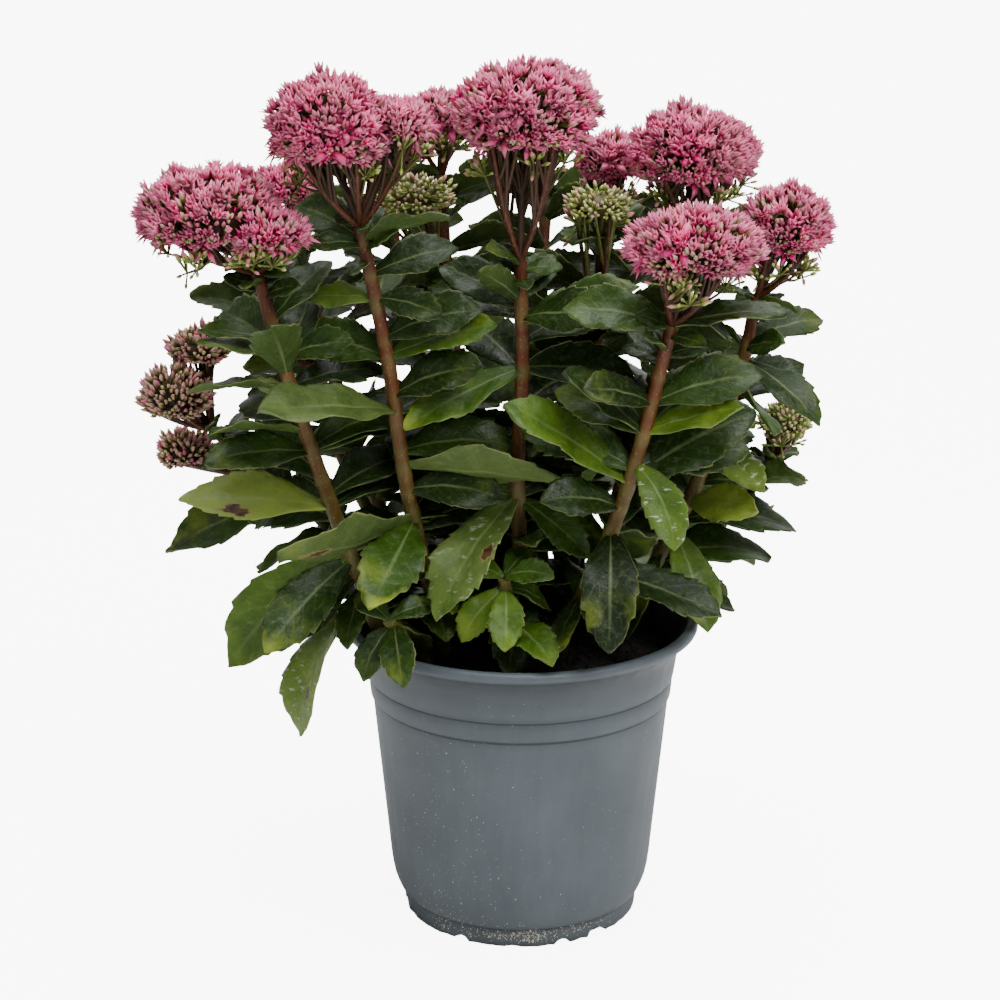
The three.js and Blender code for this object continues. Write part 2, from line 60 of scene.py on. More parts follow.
# The camera stands where the photo was taken from
cameraPlace = {"position": (-10, -982, 484), "pitchDown": 0.277, "lens": 77.58, "sensor": 36}

cameraData = bpy.data.cameras.new("photoCamera")
cameraData.lens = cameraPlace["lens"]
cameraData.sensor_width = cameraPlace["sensor"]
camera = bpy.data.objects.new("photoCamera", cameraData)
camera.location = Vector(cameraPlace["position"]) * mm
camera.rotation_euler = (math.pi / 2 - cameraPlace["pitchDown"], 0, 0)
scene.collection.objects.link(camera)
scene.camera = camera


# Small helpers for colours, nodes and meshes
def hexColour(text):
    channels = [int(text[start : start + 2], 16) / 255 for start in (1, 3, 5)]
    linear = [c / 12.92 if c <= 0.04045 else ((c + 0.055) / 1.055) ** 2.4 for c in channels]
    return (*linear, 1.0)


def setInputs(tree, node, inputs):  # to a value, a hex colour, a socket or the first output of a node
    for key, value in inputs.items():
        if isinstance(value, bpy.types.Node):
            value = next(socket for socket in value.outputs if socket.enabled)
        if isinstance(value, bpy.types.NodeSocket):
            tree.links.new(value, node.inputs[key])
        elif isinstance(value, str) and value.startswith("#"):
            node.inputs[key].default_value = hexColour(value)
        else:
            node.inputs[key].default_value = value


def addNode(tree, kind, inputs=None, stops=(), **settings):  # stops are places and colours of a colour ramp
    node = tree.nodes.new(kind)
    for key, value in settings.items():
        setattr(node, key, value)
    setInputs(tree, node, inputs or {})
    for order, (position, colour) in enumerate(stops):
        elements = node.color_ramp.elements
        element = elements[order] if order < len(elements) else elements.new(1.0)
        element.position = position
        element.color = hexColour(colour)
    return node


def makeMesh(name, points, faces, materials, attributes=None, edges=()):
    mesh = bpy.data.meshes.new(name)
    mesh.from_pydata((np.asarray(points, float) * mm).tolist(), list(edges), faces)
    kinds = {1: ("FLOAT", "value"), 3: ("FLOAT_VECTOR", "vector"), 4: ("FLOAT_COLOR", "color")}
    for key, values in (attributes or {}).items():
        values = np.asarray(values, np.float32)
        kind, field = kinds[1 if values.ndim == 1 else values.shape[1]]
        mesh.attributes.new(key, kind, "POINT").data.foreach_set(field, values.ravel())
    for material in materials:
        mesh.materials.append(material)
    if faces:
        mesh.polygons.foreach_set("use_smooth", [True] * len(mesh.polygons))
    thing = bpy.data.objects.new(name, mesh)
    scene.collection.objects.link(thing)
    return thing


def joinPieces(name, things):
    with bpy.context.temp_override(active_object=things[0], selected_editable_objects=things):
        bpy.ops.object.join()
    things[0].name = name
    things[0].data.name = name
    return things[0]


def dress(piece, slot, *nodes):
    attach(piece, "root")
    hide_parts(*nodes)


def unit(vectors):
    vectors = np.asarray(vectors, float)
    return vectors / np.maximum(np.linalg.norm(vectors, axis=-1, keepdims=True), 1e-9)


# Geometry Nodes trees: a group with named inputs, and a function that turns its result into a plain mesh
def startGroup(name, inputs):
    tree = bpy.data.node_groups.new(name, "GeometryNodeTree")
    tree.interface.new_socket("Geometry", in_out="INPUT", socket_type="NodeSocketGeometry")
    for label, kind, value in inputs:
        socket = tree.interface.new_socket(label, in_out="INPUT", socket_type="NodeSocket" + kind)
        if value is not None:
            socket.default_value = value
    tree.interface.new_socket("Geometry", in_out="OUTPUT", socket_type="NodeSocketGeometry")
    return tree, tree.nodes.new("NodeGroupInput"), tree.nodes.new("NodeGroupOutput")


def endGroup(tree, geometry, material, leave):
    realized = addNode(tree, "GeometryNodeRealizeInstances", {"Geometry": geometry})
    painted = addNode(tree, "GeometryNodeSetMaterial", {"Geometry": realized, "Material": material})
    setInputs(tree, leave, {0: painted})


def growPiece(name, carrier, tree, values):
    modifier = carrier.modifiers.new(tree.name, "NODES")
    modifier.node_group = tree
    for item in tree.interface.items_tree:
        if item.item_type == "SOCKET" and item.in_out == "INPUT" and item.name in values:
            modifier[item.identifier] = values[item.name]
    depsgraph = bpy.context.evaluated_depsgraph_get()
    evaluated = carrier.evaluated_get(depsgraph)
    mesh = bpy.data.meshes.new_from_object(evaluated, preserve_all_data_layers=True, depsgraph=depsgraph)
    carrier.modifiers.remove(modifier)
    bpy.data.objects.remove(carrier)
    piece = bpy.data.objects.new(name, mesh)
    mesh.name = name
    scene.collection.objects.link(piece)
    return piece


def growTubes():  # a round tube along every run of edges, as thick as its radius attribute says
    tree, entry, leave = startGroup("tubesAlongStalks", [("Sides", "Int", 6), ("Material", "Material", None)])
    radius = addNode(tree, "GeometryNodeInputNamedAttribute", {"Name": "radius"}, data_type="FLOAT")
    curve = addNode(tree, "GeometryNodeMeshToCurve", {"Mesh": entry.outputs["Geometry"]})
    thick = addNode(tree, "GeometryNodeSetCurveRadius", {"Curve": curve, "Radius": radius})
    circle = addNode(tree, "GeometryNodeCurvePrimitiveCircle",
                     {"Resolution": entry.outputs["Sides"], "Radius": 1.0})
    tube = addNode(tree, "GeometryNodeCurveToMesh",
                   {"Curve": thick, "Profile Curve": circle, "Fill Caps": True})
    if "Scale" in tube.inputs:
        setInputs(tree, tube, {"Scale": radius})
    soft = addNode(tree, "GeometryNodeSetShadeSmooth", {"Geometry": tube})
    endGroup(tree, soft, entry.outputs["Material"], leave)
    return tree


def scatterShapes():  # one of a collection's shapes on every point, turned along its aim attribute
    tree, entry, leave = startGroup("shapesOnPoints", [
        ("Shapes", "Collection", None), ("Smallest", "Float", 0.8), ("Largest", "Float", 1.2),
        ("Seed", "Int", 7), ("Material", "Material", None)])
    shapes = addNode(tree, "GeometryNodeCollectionInfo", {
        "Collection": entry.outputs["Shapes"], "Separate Children": True, "Reset Children": True})
    aim, size, kind = (
        addNode(tree, "GeometryNodeInputNamedAttribute", {"Name": name}, data_type=form)
        for name, form in (("aim", "FLOAT_VECTOR"), ("size", "FLOAT"), ("kind", "INT")))
    aimed = addNode(tree, "FunctionNodeAlignRotationToVector", {"Vector": aim}, axis="Z")
    turn = addNode(tree, "FunctionNodeRandomValue",
                   {2: 0.0, 3: fullTurn, "Seed": entry.outputs["Seed"]}, data_type="FLOAT")
    around = addNode(tree, "ShaderNodeCombineXYZ", {"Z": turn})
    spin = addNode(tree, "FunctionNodeEulerToRotation", {0: around})
    turned = addNode(tree, "FunctionNodeRotateRotation",
                     {"Rotation": aimed, "Rotate By": spin}, rotation_space="LOCAL")
    luck = addNode(tree, "FunctionNodeRandomValue", {
        2: entry.outputs["Smallest"], 3: entry.outputs["Largest"], "Seed": entry.outputs["Seed"],
        "ID": addNode(tree, "GeometryNodeInputIndex"),
    }, data_type="FLOAT")
    sized = addNode(tree, "ShaderNodeMath", {0: luck, 1: size}, operation="MULTIPLY")
    placed = addNode(tree, "GeometryNodeInstanceOnPoints", {
        "Points": entry.outputs["Geometry"], "Instance": shapes, "Pick Instance": True,
        "Instance Index": kind, "Rotation": turned, "Scale": sized,
    })
    endGroup(tree, placed, entry.outputs["Material"], leave)
    return tree


tubeTree = growTubes()
scatterTree = scatterShapes()


# Materials: patterns read the object's own coordinates, and their sizes are millimetres
def startMaterial(name, inputs):
    material = bpy.data.materials.new(name)
    material.use_nodes = True
    tree = material.node_tree
    shader = tree.nodes["Principled BSDF"]
    setInputs(tree, shader, inputs)
    return material, tree, shader


def readMarks(tree, names):  # the pieces' own attributes, such as how much darkening and painted shade a point has, and how bloomy it is
    return [addNode(tree, "ShaderNodeAttribute", attribute_name=name).outputs["Fac"] for name in names]


def cloudPattern(tree, size, detail=3.0, squeeze=(1, 1, 1)):  # soft patches of this size, 0 to 1
    place = addNode(tree, "ShaderNodeTexCoord").outputs["Object"]
    if squeeze != (1, 1, 1):
        place = addNode(tree, "ShaderNodeMapping", {"Vector": place, "Scale": squeeze})
    return addNode(tree, "ShaderNodeTexNoise", {"Vector": place, "Scale": 1 / (size * mm), "Detail": detail})


def fleckPattern(tree, spacing, squeeze=(1, 1, 1)):  # distance to the nearest of scattered points, 0 to 1
    place = addNode(tree, "ShaderNodeTexCoord").outputs["Object"]
    place = addNode(tree, "ShaderNodeMapping", {"Vector": place, "Scale": squeeze})
    return addNode(tree, "ShaderNodeTexVoronoi", {"Vector": place, "Scale": 1 / (spacing * mm)})


def overlap(tree, *masks):  # holds where all the masks hold
    share = masks[0]
    for mask in masks[1:]:
        share = addNode(tree, "ShaderNodeMath", {0: share, 1: mask}, operation="MULTIPLY")
    return share


def swayed(tree, value, pattern, span):  # the value, moved up and down by a pattern within this span
    sway = addNode(tree, "ShaderNodeMapRange", {0: pattern, 3: -span / 2, 4: span / 2}, clamp=False)
    return addNode(tree, "ShaderNodeMath", {0: value, 1: sway}, operation="ADD")


def paintLayers(tree, colour, layers):  # each layer is a mask, its strength and its paint
    for mask, strength, paint in layers:
        share = overlap(tree, mask, strength)
        colour = addNode(tree, "ShaderNodeMix", {0: share, 6: colour, 7: paint}, data_type="RGBA")
    return colour


# the dark paint darkens the fine lines and the foot, and paints shade under the rolled lip
plasticPaint = {
    "body": [(0.3, "#484f55"), (0.5, "#525a60"), (0.72, "#5d656b")], "dirt": "#25272a", "dust": "#b9b7ad",
}


def pottedPlastic():  # injection-moulded grey polypropylene: satin, a little dusty, darker in its fine lines and at the foot, with painted shade under the lip
    material, tree, shader = startMaterial("mouldedPolypropylene", {"IOR": 1.49})
    grime, = readMarks(tree, ["grime"])
    cloud = cloudPattern(tree, 45, 4.0)
    streak = cloudPattern(tree, 6, 4.0, (1, 1, 0.12))
    shade = addNode(tree, "ShaderNodeMath", {0: cloud, 1: 0.7, 2: overlap(tree, streak, 0.3)},
                    operation="MULTIPLY_ADD")
    body = addNode(tree, "ShaderNodeValToRGB", {0: shade}, plasticPaint["body"])
    fleck = addNode(tree, "ShaderNodeMapRange", {0: fleckPattern(tree, 2.6), 1: 0.1, 2: 0.05})
    dusty = addNode(tree, "ShaderNodeMapRange", {0: cloudPattern(tree, 30, 2.0), 1: 0.5, 2: 0.7})
    setInputs(tree, shader, {
        "Base Color": paintLayers(tree, body, [
            # darker fine lines and foot, and painted shade under the rolled lip
            (grime, 1, plasticPaint["dirt"]), (overlap(tree, fleck, dusty), 0.8, plasticPaint["dust"])]),
        "Roughness": addNode(tree, "ShaderNodeMapRange", {0: streak, 1: 0.3, 2: 0.7, 3: 0.4, 4: 0.54}),
        "Normal": addNode(tree, "ShaderNodeBump",
                          {"Height": cloudPattern(tree, 0.9, 2.0), "Distance": 0.03 * mm, "Strength": 0.5}),
    })
    return material


peatPaint = [(0.3, "#0c0a09"), (0.55, "#1d1713"), (0.75, "#38291e")]


def darkPeat():  # moist peat compost: near black, crumbly, dull
    material, tree, shader = startMaterial("moistPeat", {"Roughness": 0.9})
    setInputs(tree, shader, {
        "Base Color": addNode(tree, "ShaderNodeValToRGB", {0: cloudPattern(tree, 3.5, 5.0)}, peatPaint),
        "Normal": addNode(tree, "ShaderNodeBump",
                          {"Height": cloudPattern(tree, 1.2, 5.0), "Distance": 0.6 * mm, "Strength": 0.8}),
    })
    return material


sandPaint = [(0.35, "#8f866f"), (0.6, "#d2cbb8")]


def paleSand():  # quartz sand stuck to the pot: pale grains, a little glassy
    material, tree, shader = startMaterial("quartzSand", {"Roughness": 0.55})
    colour = addNode(tree, "ShaderNodeValToRGB", {0: cloudPattern(tree, 1.0)}, sandPaint)
    setInputs(tree, shader, {"Base Color": colour})
    return material


leafPaint = {
    "top": [(0.0, "#0f2003"), (0.3, "#1d3407"), (0.55, "#33500e"), (0.8, "#56721b"), (1.0, "#86982f")],
    "under": [(0.0, "#2b3d13"), (0.6, "#4d6427"), (1.0, "#778a3e")],
    "vein": "#9fb36a", "rib": "#a3b377", "mottle": "#8fa45a", "gold": "#9bab2e", "bloom": "#76854a",
    "margin": "#b4b873", "pit": "#2c3312", "withered": "#8d8350", "scuff": "#c9cfbd",
    "dead": [(0.35, "#2b1b12"), (0.6, "#5c4129")],
}
leafMarks = ("along", "across", "upper", "tint", "bloom", "ripe", "scar", "scuff")


def veinLines(tree, along, offset):  # thin slanting side veins, a little bent
    slant = overlap(tree, offset, -15)
    bent = swayed(tree, slant, cloudPattern(tree, 8, 2.0), 5.0)
    steps = addNode(tree, "ShaderNodeMath", {0: along, 1: 52, 2: bent}, operation="MULTIPLY_ADD")
    wave = addNode(tree, "ShaderNodeMath", {0: steps}, operation="SINE")
    return addNode(tree, "ShaderNodeMapRange", {0: wave, 1: 0.75, 2: 1.0})


def fleshyLeaf():  # waxy succulent blade: soft gloss, bloomy patches, pale midrib, yellow margin, few scars
    material, tree, shader = startMaterial("waxySucculentBlade", {"IOR": 1.42, "Specular IOR Level": 0.38})
    along, across, upper, tint, bloom, ripe, scar, scuff = readMarks(tree, leafMarks)
    offset = addNode(tree, "ShaderNodeMath", {0: across}, operation="ABSOLUTE")
    cloud = cloudPattern(tree, 11, 4.0)
    shade = swayed(tree, tint, cloud, 0.55)
    top = addNode(tree, "ShaderNodeValToRGB", {0: shade}, leafPaint["top"])
    under = addNode(tree, "ShaderNodeValToRGB", {0: shade}, leafPaint["under"])
    dead = addNode(tree, "ShaderNodeValToRGB", {0: cloudPattern(tree, 3, 4.0)}, leafPaint["dead"])
    torn = swayed(tree, scar, cloudPattern(tree, 5, 5.0), 0.9)
    vein = veinLines(tree, along, offset)
    masks = {}
    for name, value, low, high, least, most in (
        ("midrib", offset, 0.09, 0.02, 0, 1), ("ribFades", along, 1.0, 0.4, 0, 1),
        ("mottle", cloudPattern(tree, 2.2), 0.56, 0.7, 0, 1),
        ("tip", along, 0.55, 1.0, 0, 1), ("goldPatch", cloudPattern(tree, 16), 0.45, 0.7, 0, 1),
        ("bloomPatch", cloudPattern(tree, 9), 0.35, 0.65, 0.4, 1.0),
        ("margin", offset, 0.95, 1.0, 0, 1), ("marginPatch", cloudPattern(tree, 9), 0.4, 0.65, 0.15, 0.7),
        ("pit", fleckPattern(tree, 5.5), 0.11, 0.05, 0, 1),
        ("pitPatch", cloudPattern(tree, 25), 0.52, 0.6, 0, 1),
        ("withered", torn, 0.42, 0.5, 0, 1), ("dead", torn, 0.5, 0.58, 0, 1),
        ("scuffPatch", cloudPattern(tree, 3.5, 5.0, (0.5, 1, 1.6)), 0.6, 0.68, 0, 1),
        ("dull", upper, 0, 1, 0.62, 0.42),
    ):
        masks[name] = addNode(tree, "ShaderNodeMapRange", {0: value, 1: low, 2: high, 3: least, 4: most})
    colour = paintLayers(tree, under, [
        (upper, 1, top),
        (vein, 0.04, leafPaint["vein"]),
        (overlap(tree, masks["midrib"], masks["ribFades"]), 0.3, leafPaint["rib"]),
        (masks["mottle"], 0.12, leafPaint["mottle"]),
        (overlap(tree, masks["tip"], masks["goldPatch"], ripe), 1, leafPaint["gold"]),
        (masks["bloomPatch"], bloom, leafPaint["bloom"]),
        (masks["margin"], masks["marginPatch"], leafPaint["margin"]),
        (overlap(tree, masks["pit"], masks["pitPatch"]), 0.6, leafPaint["pit"]),
        (masks["withered"], 1, leafPaint["withered"]),
        (masks["dead"], 1, dead),
        (masks["scuffPatch"], scuff, leafPaint["scuff"]),
    ])
    relief = overlap(tree, vein, -0.12)
    for size, height in ((6, 2.2), (1.3, 0.45)):
        relief = addNode(tree, "ShaderNodeMath", {0: cloudPattern(tree, size), 1: height, 2: relief},
                         operation="MULTIPLY_ADD")
    setInputs(tree, shader, {
        "Base Color": colour,
        "Roughness": swayed(tree, masks["dull"], cloud, 0.3),
        "Normal": addNode(tree, "ShaderNodeBump", {"Height": relief, "Distance": 0.6 * mm, "Strength": 0.6}),
    })
    return material


barkPaint = {
    "skin": [(0.0, "#444312"), (0.3, "#573f12"), (0.5, "#633b15"), (0.75, "#622d16"), (1.0, "#4a2616")],
    "line": "#94733f", "fleck": "#a98a66", "joint": "#6f7439",
}


def stemBark():  # smooth fleshy stem: olive tan at the foot, red-brown above, with pale flecks
    material, tree, shader = startMaterial("redBrownStem", {"Roughness": 0.5, "IOR": 1.42})
    level, joint = readMarks(tree, ["level", "joint"])
    shade = swayed(tree, level, cloudPattern(tree, 14, 3.0, (1, 1, 0.4)), 0.5)
    skin = addNode(tree, "ShaderNodeValToRGB", {0: shade}, barkPaint["skin"])
    grain = cloudPattern(tree, 1.1, 3.0, (1, 1, 0.12))
    line = addNode(tree, "ShaderNodeMapRange", {0: grain, 1: 0.52, 2: 0.72})
    fleck = addNode(tree, "ShaderNodeMapRange", {0: fleckPattern(tree, 1.5, (1, 1, 0.6)), 1: 0.22, 2: 0.12})
    ridges = cloudPattern(tree, 1.2, 3.0, (1, 1, 0.25))
    setInputs(tree, shader, {
        "Base Color": paintLayers(tree, skin, [
            (line, 0.25, barkPaint["line"]), (fleck, 0.5, barkPaint["fleck"]),
            (joint, 1, barkPaint["joint"])]),
        "Normal": addNode(tree, "ShaderNodeBump", {"Height": ridges, "Distance": 0.3 * mm, "Strength": 0.4}),
    })
    return material


# the dark low end is partly the stalks' own wine red and partly painted shade under the heads
stalkPaint = [(0.0, "#3a2116"), (0.4, "#48341c"), (0.7, "#626628"), (1.0, "#8f9b50")]


def flowerStalk():  # thin fleshy stalks below the florets, wine red to olive, their darkest red partly painted shade under the heads
    material, tree, shader = startMaterial("fleshyFlowerStalk", {"Roughness": 0.55, "IOR": 1.42})
    level, = readMarks(tree, ["level"])
    shade = swayed(tree, level, cloudPattern(tree, 5), 0.4)
    setInputs(tree, shader, {
        "Base Color": addNode(tree, "ShaderNodeValToRGB", {0: shade}, stalkPaint),
        "Normal": addNode(tree, "ShaderNodeBump",
                          {"Height": cloudPattern(tree, 1.0), "Distance": 0.15 * mm, "Strength": 0.4}),
    })
    return material


tiredPetal = "#b0787a"


def waxyPetal():  # thin waxy petals and buds: their own painted colours, each floret a little different
    material, tree, shader = startMaterial("waxyPetal", {"Roughness": 0.55, "IOR": 1.4})
    paint = addNode(tree, "ShaderNodeAttribute", attribute_name="paint").outputs["Color"]
    fade, = readMarks(tree, ["fade"])
    tired = addNode(tree, "ShaderNodeMapRange", {0: fade, 1: 0.5, 2: 1.1, 3: 0.0, 4: 0.6})
    strong = addNode(tree, "ShaderNodeMapRange", {0: fade, 1: 0.0, 2: 0.5, 3: 1.12, 4: 0.95})
    cloud = cloudPattern(tree, 12, 2.0)
    bright = addNode(tree, "ShaderNodeMapRange", {0: cloud, 1: 0.3, 2: 0.7, 3: 0.72, 4: 1.25})
    colour = paintLayers(tree, paint, [(tired, 1, tiredPetal)])
    setInputs(tree, shader, {
        "Base Color": addNode(tree, "ShaderNodeHueSaturation",
                              {"Color": colour, "Value": bright, "Saturation": strong}),
        "Normal": addNode(tree, "ShaderNodeBump",
                          {"Height": cloudPattern(tree, 0.8), "Distance": 0.08 * mm, "Strength": 0.3}),
    })
    return material


plastic = pottedPlastic()
peat = darkPeat()
sand = paleSand()
blade = fleshyLeaf()
bark = stemBark()
stalkSkin = flowerStalk()
petal = waxyPetal()
print("materials made")


# Pot: a fine turned profile with rolled lip, two thin ring lines and a scalloped foot
pot = {
    "rim": 85, "height": 148, "wall": 1.5, "foot": 57, "footTop": 9.4, "sides": 180,
    "notches": 9, "notch": 4.2, "notchVariation": 1.2,  # drain notches: how many, and their half width
    "flatRadius": 42, "edgeWidth": 10, "edgeHeight": 1.4,  # where the flat underside meets the uneven foot
}


def potProfile():  # rows of radius, height and darkening, painted shade under the lip among it: below, up the outside, and down the inside
    foot, rim, top, wall = pot["foot"], pot["rim"], pot["height"], pot["wall"]
    underside = [(0, 0, 0), (30, 0, 0), (44, 0, 0), (50, 0, 0.1), (54, 0, 0.2), (foot - 0.6, 0, 0.3)]
    outside = [
        (foot, 0.7, 0.2), (foot + 0.2, 4, 0.1), (foot + 0.4, 8, 0.15), (foot + 0.5, 9.3, 0.55),
        (foot + 0.7, 9.8, 0.95), (foot + 1.6, 10.3, 0.9), (foot + 2.3, 10.8, 0.25), (59.9, 12, 0.05),
        (61.2, 15, 0), (62.2, 18, 0), (63.1, 22.5, 0), (63.8, 28, 0), (65.4, 45, 0), (67.4, 66, 0),
        (69.4, 87, 0), (71.1, 105, 0), (71.45, 108.8, 0.1), (71.3, 109.4, 0.8), (71.35, 109.9, 0.9),
        (72.2, 110.4, 0.35), (72.6, 111.1, 0), (73.0, 115, 0), (73.3, 119.2, 0.1), (73.05, 119.7, 0.85),
        # from 129 mm up to the lip the third values are painted shade under the rolled lip; in the ring lines
        # and at the foot they only darken
        (73.1, 120.1, 0.85), (73.65, 120.5, 0.2), (74.3, 124, 0), (75.0, 129, 0.2), (75.9, 134, 0.35),
        (78.4, 138, 0.55), (81.6, 141.6, 0.65), (rim - 2.4, 142.8, 0.7), (rim - 1.6, 143.1, 0.5),
        (rim - 0.5, 143.7, 0.1), (rim, 144.8, 0), (rim, 146.1, 0), (rim - 0.5, 147.2, 0),
        (rim - 1.5, 147.9, 0),
    ]
    inside = [
        # down the inside the third values grow, so the inside is darker towards the bottom
        (rim - 2.8, top, 0), (rim - 4.1, 147.8, 0), (rim - 5, 147.2, 0), (79.4, 146, 0), (77.3, 141, 0.1),
        (74.5, 134, 0.2), (72.2, 122, 0.4), (70, 110, 0.5), (62.3, 28, 0.6), (55.5, 10, 0.7), (54, wall, 0.8),
        (0, wall, 0.8),
    ]
    return underside, outside, inside


def notchLift(turn):  # how far the foot's uneven edge is lifted at this turn, also by its drain notches
    lift = 0.75 + 0.5 * math.sin(17 * turn + 1) * math.sin(5 * turn) + 0.25 * math.sin(41 * turn)
    for index in range(pot["notches"]):
        centre = (index + 0.3 * math.sin(index * 2.1)) / pot["notches"] * fullTurn
        radius = pot["notch"] + pot["notchVariation"] * math.sin(index * 1.7)
        away = abs((turn - centre + math.pi) % fullTurn - math.pi) * pot["foot"]
        if away < radius:
            lift = max(lift, math.sqrt(radius * radius - away * away) * 0.92)
    return lift


def turnedFaces(sides, count):  # faces between the rows of each side, closed by a point below and one above
    faces = []
    low, high = sides * count, sides * count + 1
    for step in range(sides):
        here, there = step * count, (step + 1) % sides * count
        faces += [(here + row, there + row, there + row + 1, here + row + 1) for row in range(count - 1)]
        faces += [(low, there, here), (here + count - 1, there + count - 1, high)]
    return faces


def makePot():
    first, *rows, last = [row for part in potProfile() for row in part]
    points, grime = [], []
    for step in range(pot["sides"]):
        turn = step / pot["sides"] * fullTurn
        lift = notchLift(turn)
        for radius, height, dirt in rows:
            raised = height
            if height < pot["edgeHeight"]:
                edge = min(max((radius - pot["flatRadius"]) / pot["edgeWidth"], 0), 1)
                raised = max(height, lift * edge)
            elif height < pot["footTop"] and radius > pot["foot"] - 1:
                raised = max(height, lift + 0.1 * height)
            points.append((radius * math.cos(turn), radius * math.sin(turn), raised))
            grime.append(dirt)
    for radius, height, dirt in (first, last):
        points.append((0, 0, height))
        grime.append(dirt)
    faces = turnedFaces(pot["sides"], len(rows))
    dress(makeMesh("nurseryPot", points, faces, [plastic], {"grime": grime}), "pot", "pot")


makePot()
print("pot made")


# Grains: small angular lumps, scattered over the soil and over the pot
def grainShape(name, stretch, seed):
    work = bmesh.new()
    bmesh.ops.create_icosphere(work, subdivisions=1, radius=mm)
    draws = np.random.default_rng(seed)
    for vertex in work.verts:
        vertex.co = Vector(a * b for a, b in zip(vertex.co, stretch)) * float(draws.uniform(0.7, 1.25))
    mesh = bpy.data.meshes.new(name)
    work.to_mesh(mesh)
    work.free()
    return bpy.data.objects.new(name, mesh)


def shapeCollection(name, shapes):
    collection = bpy.data.collections.new(name)
    for shape in shapes:
        collection.objects.link(shape)
    return collection


def scatterGrains(name, grains, look, material):  # grains are place, direction, kind of shape, and size
    spots, aims, kinds, sizes = zip(*grains)
    carrier = makeMesh(name + "Points", spots, [], [], {"aim": aims, "kind": kinds, "size": sizes})
    shapes = [grainShape(f"{name}{order}", stretch, look["shapeSeed"] + order)
              for order, stretch in enumerate(look["shapes"])]
    values = {"Shapes": shapeCollection(name + "Shapes", shapes), "Smallest": 0.8, "Largest": look["largest"],
              "Seed": look["seed"], "Material": material}
    return growPiece(name, carrier, scatterTree, values)


# Soil: an uneven peat surface under a layer of crumbs
soil = {
    "height": 132, "unevenness": 1.3, "gap": 0.4, "sides": 72,
    "crumbReach": 71, "crumbs": 1500, "slivers": 160, "seed": 11, "shapeSeed": 1, "largest": 1.3,
    "shapes": [(1, 1, 0.8), (1.3, 0.9, 0.8), (0.8, 1.1, 1.2), (0.35, 0.3, 3.2)],  # the last one is a sliver
}


def soilTop(x, y):
    reach = math.hypot(x, y) / 72
    swell = soil["unevenness"] * math.sin(0.13 * x + 1) * math.cos(0.11 * y)
    return soil["height"] + 0.5 + swell - 2 * reach**6 + 0.9 * math.sin(0.42 * x) * math.sin(0.37 * y + 2)


def makeSoil():
    floor = pot["wall"] + soil["gap"]
    rows = [(53, floor), (55, 10), (61.8, 28.3), (69.4, 110), (73.4, 129)]  # against the pot's inside
    rows += [(ring, None) for ring in (70, 64, *range(56, 0, -8))]  # and across the top
    points = []
    for step in range(soil["sides"]):
        turn = step / soil["sides"] * fullTurn
        for radius, height in rows:
            x, y = radius * math.cos(turn), radius * math.sin(turn)
            points.append((x, y, soilTop(x, y) if height is None else height))
    points += [(0, 0, floor), (0, 0, soilTop(0, 0))]
    ground = makeMesh("peatGround", points, turnedFaces(soil["sides"], len(rows)), [peat])
    draws = np.random.default_rng(soil["seed"])
    grains = []
    for index in range(soil["crumbs"] + soil["slivers"]):
        radius, turn = soil["crumbReach"] * math.sqrt(draws.uniform()), draws.uniform(0, fullTurn)
        x, y = radius * math.cos(turn), radius * math.sin(turn)
        sliver = index >= soil["crumbs"]
        spot = (x, y, soilTop(x, y) + draws.uniform(-0.4, 0.7))
        aim = unit(draws.normal(0, 1, 3) * (1, 1, 0.2 if sliver else 1))
        kind = 3 if sliver else int(draws.integers(0, 3))
        size = draws.uniform(0.5, 1.0) if sliver else 0.5 + 1.6 * draws.uniform() ** 3
        grains.append((spot, aim, kind, size))
    dress(joinPieces("peatSoil", [ground, scatterGrains("peatCrumbs", grains, soil, peat)]), "soil", "soil")


makeSoil()
print("soil made")


# Sand that sticks to the pot: a sprinkle over the side, thicker on the left and along the foot
sandCover = {
    "sprinkle": 620, "leftShare": 0.6, "leftBearing": -122, "leftSpread": 18, "lowest": 12, "highest": 112,
    "footHeaps": [  # bearing, grains and spread in degrees
        (-86, 170, 8), (-112, 60, 14), (-98, 70, 12), (-70, 60, 14), (-132, 50, 10), (-50, 40, 12),
        (80, 70, 40)],
    "seed": 5, "shapeSeed": 8, "largest": 1.2, "shapes": [(1, 0.8, 0.45), (0.8, 1, 0.5)],
}


def potRadiusAt(height):
    _, outside, _ = potProfile()
    return float(np.interp(height, [row[1] for row in outside], [row[0] for row in outside]))


def makeSand():
    draws = np.random.default_rng(sandCover["seed"])
    grains = []

    def stick(turn, height, size):
        radius = potRadiusAt(height)
        out = (math.cos(turn), math.sin(turn), 0)
        grains.append(((radius * out[0], radius * out[1], height), out, int(draws.integers(0, 2)), size))

    for _ in range(sandCover["sprinkle"]):
        left = draws.uniform() < sandCover["leftShare"]
        if left:
            bearing = draws.normal(sandCover["leftBearing"], sandCover["leftSpread"])
        else:
            bearing = draws.uniform(-180, 180)
        climb = (sandCover["highest"] - sandCover["lowest"]) * draws.uniform() ** (2.2 if left else 1.3)
        stick(math.radians(bearing), sandCover["lowest"] + climb, 0.12 + 0.22 * draws.uniform() ** 3)
    for bearing, count, spread in sandCover["footHeaps"]:
        for _ in range(count):
            turn = math.radians(draws.normal(bearing, spread * 0.45))
            stick(turn, min(max(draws.normal(6, 1.8), 3), 9.6), 0.2 + 0.3 * draws.uniform() ** 2)
    piece = scatterGrains("sandOnPot", grains, sandCover, sand)
    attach(piece, "root")


makeSand()
print("sand made")


